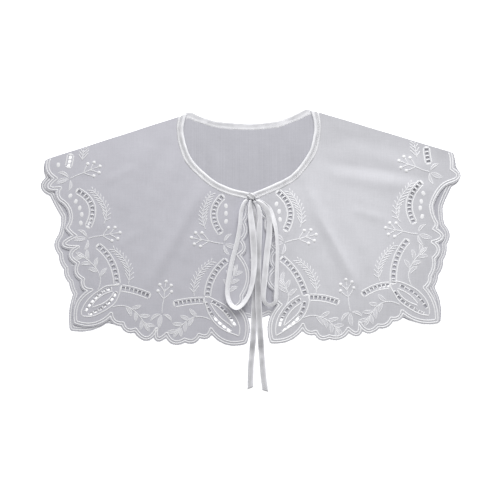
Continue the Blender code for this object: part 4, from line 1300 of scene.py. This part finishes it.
class COLLAR_OT_ties(Operator):
    """Make the two loops and the two free ends of the ribbon tie"""
    bl_idname = "collar.ties"
    bl_label = "Ribbon ties"

    def execute(self, context):
        settings = context.scene.collar
        width, thick = sized(settings.ribbon_width), sized(settings.ribbon_thickness)
        for name, (rows, node, far_end, slant) in TIES.items():
            stations = smooth_path(rows, 1.6)
            rings, run = ribbon_rings(stations, width, thick, slant)
            piece = faced_out(tubes("ribbon_" + name, [(rings, run)], material_of(settings, "ribbon")))
            # How far each station is turned, which the ribbon's material reads to paint tilted strands lighter:
            # painted light
            turned = np.repeat(np.abs(np.sin(np.radians(stations[:, 3]))), rings.shape[1])
            give(piece, "turned", turned)
            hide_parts(node)
        return {"FINISHED"}


class COLLAR_OT_knot(Operator):
    """Make the tight knot of the tie: a pinched bundle with one turn of ribbon over it"""
    bl_idname = "collar.knot"
    bl_label = "Knot"

    def execute(self, context):
        settings = context.scene.collar
        centre = np.array(KNOT_CENTRE)
        size = np.array([4.2, 3.9, 2.3])
        around, along = np.meshgrid(np.linspace(0, 2 * np.pi, 40, endpoint=False),
                                    np.linspace(-0.49 * np.pi, 0.49 * np.pi, 25))
        pinch = 1.0 + 0.05 * np.cos(5 * around + 2.4 * along) + 0.03 * np.sin(9 * around - 1.5 * along)
        x = np.cos(along) ** 0.8 * np.cos(around) * pinch
        z = np.cos(along) ** 0.8 * np.sin(around) * pinch
        y = np.sin(along)
        bundle = centre + np.stack([x, y, z], -1) * size
        turn = np.linspace(-0.62 * np.pi, 0.62 * np.pi, 30)
        lean = np.array([0.82, -0.57, 0.0])
        across = np.array([0.57, 0.82, 0.0])
        arc = np.sin(turn)[:, None] * lean * 4.4 + np.cos(turn)[:, None] * np.array([0.0, 0.0, 1.0]) * 2.75
        flat, height = ribbon_ring(16)
        outward = arc / np.linalg.norm(arc, axis=1)[:, None]
        band = centre + arc[:, None] + across * (flat * 4.6)[None, :, None]
        band = band + outward[:, None] * (height * 0.25 + 0.3 * np.cos(4 * np.pi * flat))[None, :, None]
        bundles = [(bundle, travelled(bundle[:, 0])), (band, travelled(arc))]
        pieces = [faced_out(tubes("knot_bundle", bundles[:1], material_of(settings, "ribbon"))),
                  faced_out(tubes("knot_turn", bundles[1:], material_of(settings, "ribbon")))]
        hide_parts("tie_knot")
        return {"FINISHED"}


def moved_cords(cords, shift):
    """The same drawn cords moved in plan."""
    return [[(x + shift[0], y + shift[1]) for x, y in cord] for cord in cords]


def bordered(row_sets, shift_sets):
    """The back's share of two sides' rows: each side's first row where it is, and its others moved."""
    result = []
    for rows, shift in zip(row_sets, shift_sets):
        result += rows[:1] + moved(rows[1:], shift)
    return result


# What is sewn on one panel, and which side of its stitching line is outside
Pattern = namedtuple("Pattern", "rows outward ladders corners ferns branches sprigs dots")
BACK_SHIFTS = (BACK_SHIFT_LEFT, BACK_SHIFT_RIGHT)
BACK_FERNS = 3
BACK_BRANCHES = 2
HEM_SPRIGS = [Sprig(*row) for row in (
    (-101.0, -80.0, 84.0), (-50.0, -79.0, 90.0), (1.0, -77.0, 90.0), (54.0, -78.0, 91.0),
    (110.0, -78.0, 96.0),
)]
PATTERNS = {
    "front_left": Pattern(FRONT_LEFT, 1, LADDERS_LEFT, CORNERS_LEFT_OUTER + CORNERS_LEFT_CENTRE,
                          FERNS_LEFT, BRANCHES_LEFT, SPRIGS_LEFT, DOTS_LEFT),
    "front_right": Pattern(FRONT_RIGHT, -1, LADDERS_RIGHT, CORNERS_RIGHT_OUTER + CORNERS_RIGHT_CENTRE,
                           FERNS_RIGHT, BRANCHES_RIGHT, SPRIGS_RIGHT, DOTS_RIGHT),
    "back": Pattern(
        back_rows(), 1,
        LADDERS_LEFT[:1] + moved(LADDERS_LEFT[1:BACK_LADDERS - 2], BACK_SHIFT_LEFT)
        + moved(LADDERS_RIGHT[:BACK_LADDERS], BACK_SHIFT_RIGHT)
        + moved(LADDERS_LEFT[BACK_LADDERS - 2:BACK_LADDERS], (-0.7, -1.0)),
        moved_cords(CORNERS_LEFT_OUTER, BACK_SHIFT_LEFT) + moved_cords(CORNERS_RIGHT_OUTER, BACK_SHIFT_RIGHT),
        bordered((FERNS_LEFT[:BACK_FERNS], FERNS_RIGHT[:BACK_FERNS]), BACK_SHIFTS),
        moved(BRANCHES_LEFT[:BACK_BRANCHES], BACK_SHIFT_LEFT)
        + moved(BRANCHES_RIGHT[:BACK_BRANCHES], BACK_SHIFT_RIGHT),
        moved(SPRIGS_LEFT[:2], BACK_SHIFT_LEFT) + moved(SPRIGS_RIGHT[:2], BACK_SHIFT_RIGHT) + HEM_SPRIGS,
        []),
}
# The left front's and the back's threads are darker copies of the one thread: painted shade
THREADS = {"front_left": "stitching_left", "front_right": "stitching", "back": "stitching_back"}
BACK_RISE_SHARE = 0.6
SINK = 0.45


def sewn(settings, group, strokes_of):
    """One piece of raised stitching for each panel, from a function that gives the strokes of a pattern."""
    half = sized(settings.cloth_thickness) / 2
    for name, pattern in PATTERNS.items():
        underside = back_underside if name == "back" else front_underside
        rise = sized(settings.stitch_rise) * (BACK_RISE_SHARE if name == "back" else 1)
        for soft in (False, True):
            strokes = [stroke for stroke in strokes_of(pattern) if stroke.soft == soft]
            if strokes:
                stitched(f"{group}_{'filling_' if soft else ''}{name}", strokes,
                         lambda points: underside(points) + half, rise, SINK,
                         material_of(settings, "leaf_filling" if soft else THREADS[name]))


def sew_motifs(settings, group, strokes_of):
    """The raised stitching of all the rows that the patterns hold under the group's name."""
    sewn(settings, group, lambda pattern: [stroke for row in getattr(pattern, group)
                                           for stroke in strokes_of(row, settings)])
    return {"FINISHED"}


class COLLAR_OT_cloth(Operator):
    """Make the back and the two fronts as thin pierced cloth, and the soft rolls of the shoulder folds"""
    bl_idname = "collar.cloth"
    bl_label = "Cloth panels"

    def execute(self, context):
        settings = context.scene.collar
        left = front_outline(FRONT_LEFT, 1, NECK_LEFT, SHOULDER_LEFT_TIP, SHOULDER_LEFT_NECK)
        right = front_outline(FRONT_RIGHT, -1, NECK_RIGHT, SHOULDER_RIGHT_TIP, SHOULDER_RIGHT_NECK)
        cuts = [("back", back_outline(), back_underside, "voile_back"),
                ("front_left", left, front_underside, "voile_left"),
                ("front_right", right, front_underside, "voile_right")]
        for name, outline, underside, material in cuts:
            piece, area = cloth_piece("cloth_" + name, outline, PATTERNS[name], underside, settings,
                                      material_of(settings, material))
            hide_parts("back_panel" if name == "back" else name + "_panel")
        folds = [("shoulder_left", SHOULDER_LEFT_TIP, SHOULDER_LEFT_NECK, "voile_left"),
                 ("shoulder_right", SHOULDER_RIGHT_TIP, SHOULDER_RIGHT_NECK, "voile_right")]
        for name, tip, neck, material in folds:
            roll = shoulder_roll(name, tip, neck, material_of(settings, material), settings)
        return {"FINISHED"}


def table_top(points):
    """The flat table under the back's binding."""
    return np.zeros(len(points))


# Each binding: its line, its cloth side, its section, what it lies on, its finish and its rows of stitches
BINDINGS = {
    "binding_back": (NECK_BACK, 1, BINDING_BACK_SECTION, table_top, "binding_back", (2.6,)),
    "binding_front_left": (NECK_LEFT, 1, BINDING_FRONT_SECTION, front_underside, "binding", (2.6,)),
    "binding_front_right": (NECK_RIGHT, -1, BINDING_FRONT_SECTION, front_underside, "binding", (0.9, 2.6)),
}


class COLLAR_OT_bindings(Operator):
    """Make the tape that binds the neck, in its three runs, and the rows of machine stitches on it"""
    bl_idname = "collar.bindings"
    bl_label = "Neck binding"

    def execute(self, context):
        settings = context.scene.collar
        for node, (neck, outward, section, base, material, rows) in BINDINGS.items():
            piece = binding_piece("tape_" + node, neck, outward, section, base,
                                  material_of(settings, material))
            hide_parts(node)
            across, height = zip(*section)
            for place in rows:
                lift = np.interp(place, across, height)
                stitched(f"seam_{round(place * 10)}_{node}", dashes(neck, outward, place),
                         lambda points: base(points) + lift, 0.22, 0.2,
                         material_of(settings, "seam_thread"), 6)
        return {"FINISHED"}


class COLLAR_OT_borders(Operator):
    """Sew the two satin cords that follow the scallops of each panel"""
    bl_idname = "collar.borders"
    bl_label = "Scalloped borders"

    def execute(self, context):
        settings = context.scene.collar

        def border(pattern):
            half = sized(settings.cord_gap) / 2
            lines = [beside_stitching(pattern.rows, pattern.outward, way * half, 1.0) for way in (-1, 1)]
            return [cord_stroke(line, sized(settings.cord_width)) for line in lines]
        sewn(settings, "border", border)
        return {"FINISHED"}


class COLLAR_OT_ladders(Operator):
    """Sew the cords and the wrapped bars of the cutwork ladders and of the pointed corners"""
    bl_idname = "collar.ladders"
    bl_label = "Cutwork ladders"

    def execute(self, context):
        settings = context.scene.collar
        cord = sized(settings.ladder_cord)

        def ladder(pattern):
            strokes = ladder_strokes(pattern.ladders, sized(settings.ladder_half), cord,
                                     sized(settings.hole_across))
            return strokes + [cord_stroke(smooth_path(path, 2.0), cord) for path in pattern.corners]
        sewn(settings, "ladders", ladder)
        return {"FINISHED"}


class COLLAR_OT_ferns(Operator):
    """Sew the small ferns beside the ladders"""
    bl_idname = "collar.ferns"
    bl_label = "Ferns"

    def execute(self, context):
        return sew_motifs(context.scene.collar, "ferns", fern_strokes)


class COLLAR_OT_branches(Operator):
    """Sew the leafy branches round the pointed corners"""
    bl_idname = "collar.branches"
    bl_label = "Leafy branches"

    def execute(self, context):
        return sew_motifs(context.scene.collar, "branches", branch_strokes)


class COLLAR_OT_sprigs(Operator):
    """Sew the berry sprigs that stand on the scallops"""
    bl_idname = "collar.sprigs"
    bl_label = "Berry sprigs"

    def execute(self, context):
        return sew_motifs(context.scene.collar, "sprigs", sprig_strokes)


class COLLAR_OT_dots(Operator):
    """Sew the oval dots that run beside the long ladders"""
    bl_idname = "collar.dots"
    bl_label = "Oval dots"

    def execute(self, context):
        return sew_motifs(context.scene.collar, "dots", dot_strokes)


class COLLAR_OT_cuts(Operator):
    """An empty step that makes and states nothing"""
    bl_idname = "collar.cuts"
    bl_label = "Flat cuts"

    def execute(self, context):
        return {"FINISHED"}


OPERATORS = (COLLAR_OT_stage, COLLAR_OT_ties, COLLAR_OT_cloth, COLLAR_OT_bindings, COLLAR_OT_knot,
             COLLAR_OT_borders, COLLAR_OT_ladders, COLLAR_OT_ferns, COLLAR_OT_branches, COLLAR_OT_sprigs,
             COLLAR_OT_dots, COLLAR_OT_cuts)


class COLLAR_PT_panel(Panel):
    """The collar's sizes and colours, and a button for each group of its pieces"""
    bl_idname = "COLLAR_PT_panel"
    bl_label = "Lace collar"
    bl_space_type = "VIEW_3D"
    bl_region_type = "UI"
    bl_category = "Collar"

    def draw(self, context):
        for name in CollarSettings.__annotations__:
            self.layout.prop(context.scene.collar, name)
        for operator in OPERATORS:
            self.layout.operator(operator.bl_idname)


def register():
    """Register the collar's settings, operators and panel."""
    bpy.utils.register_class(CollarSettings)
    bpy.types.Scene.collar = PointerProperty(type=CollarSettings)
    for kind in OPERATORS + (COLLAR_PT_panel,):
        bpy.utils.register_class(kind)


def unregister():
    """Take them out again."""
    for kind in (COLLAR_PT_panel,) + OPERATORS[::-1]:
        bpy.utils.unregister_class(kind)
    del bpy.types.Scene.collar
    bpy.utils.unregister_class(CollarSettings)


def main():
    """Make the whole collar, in order."""
    register()
    for operator in OPERATORS:
        group, name = operator.bl_idname.split(".")
        getattr(getattr(bpy.ops, group), name)()


if __name__ == "__main__":
    main()
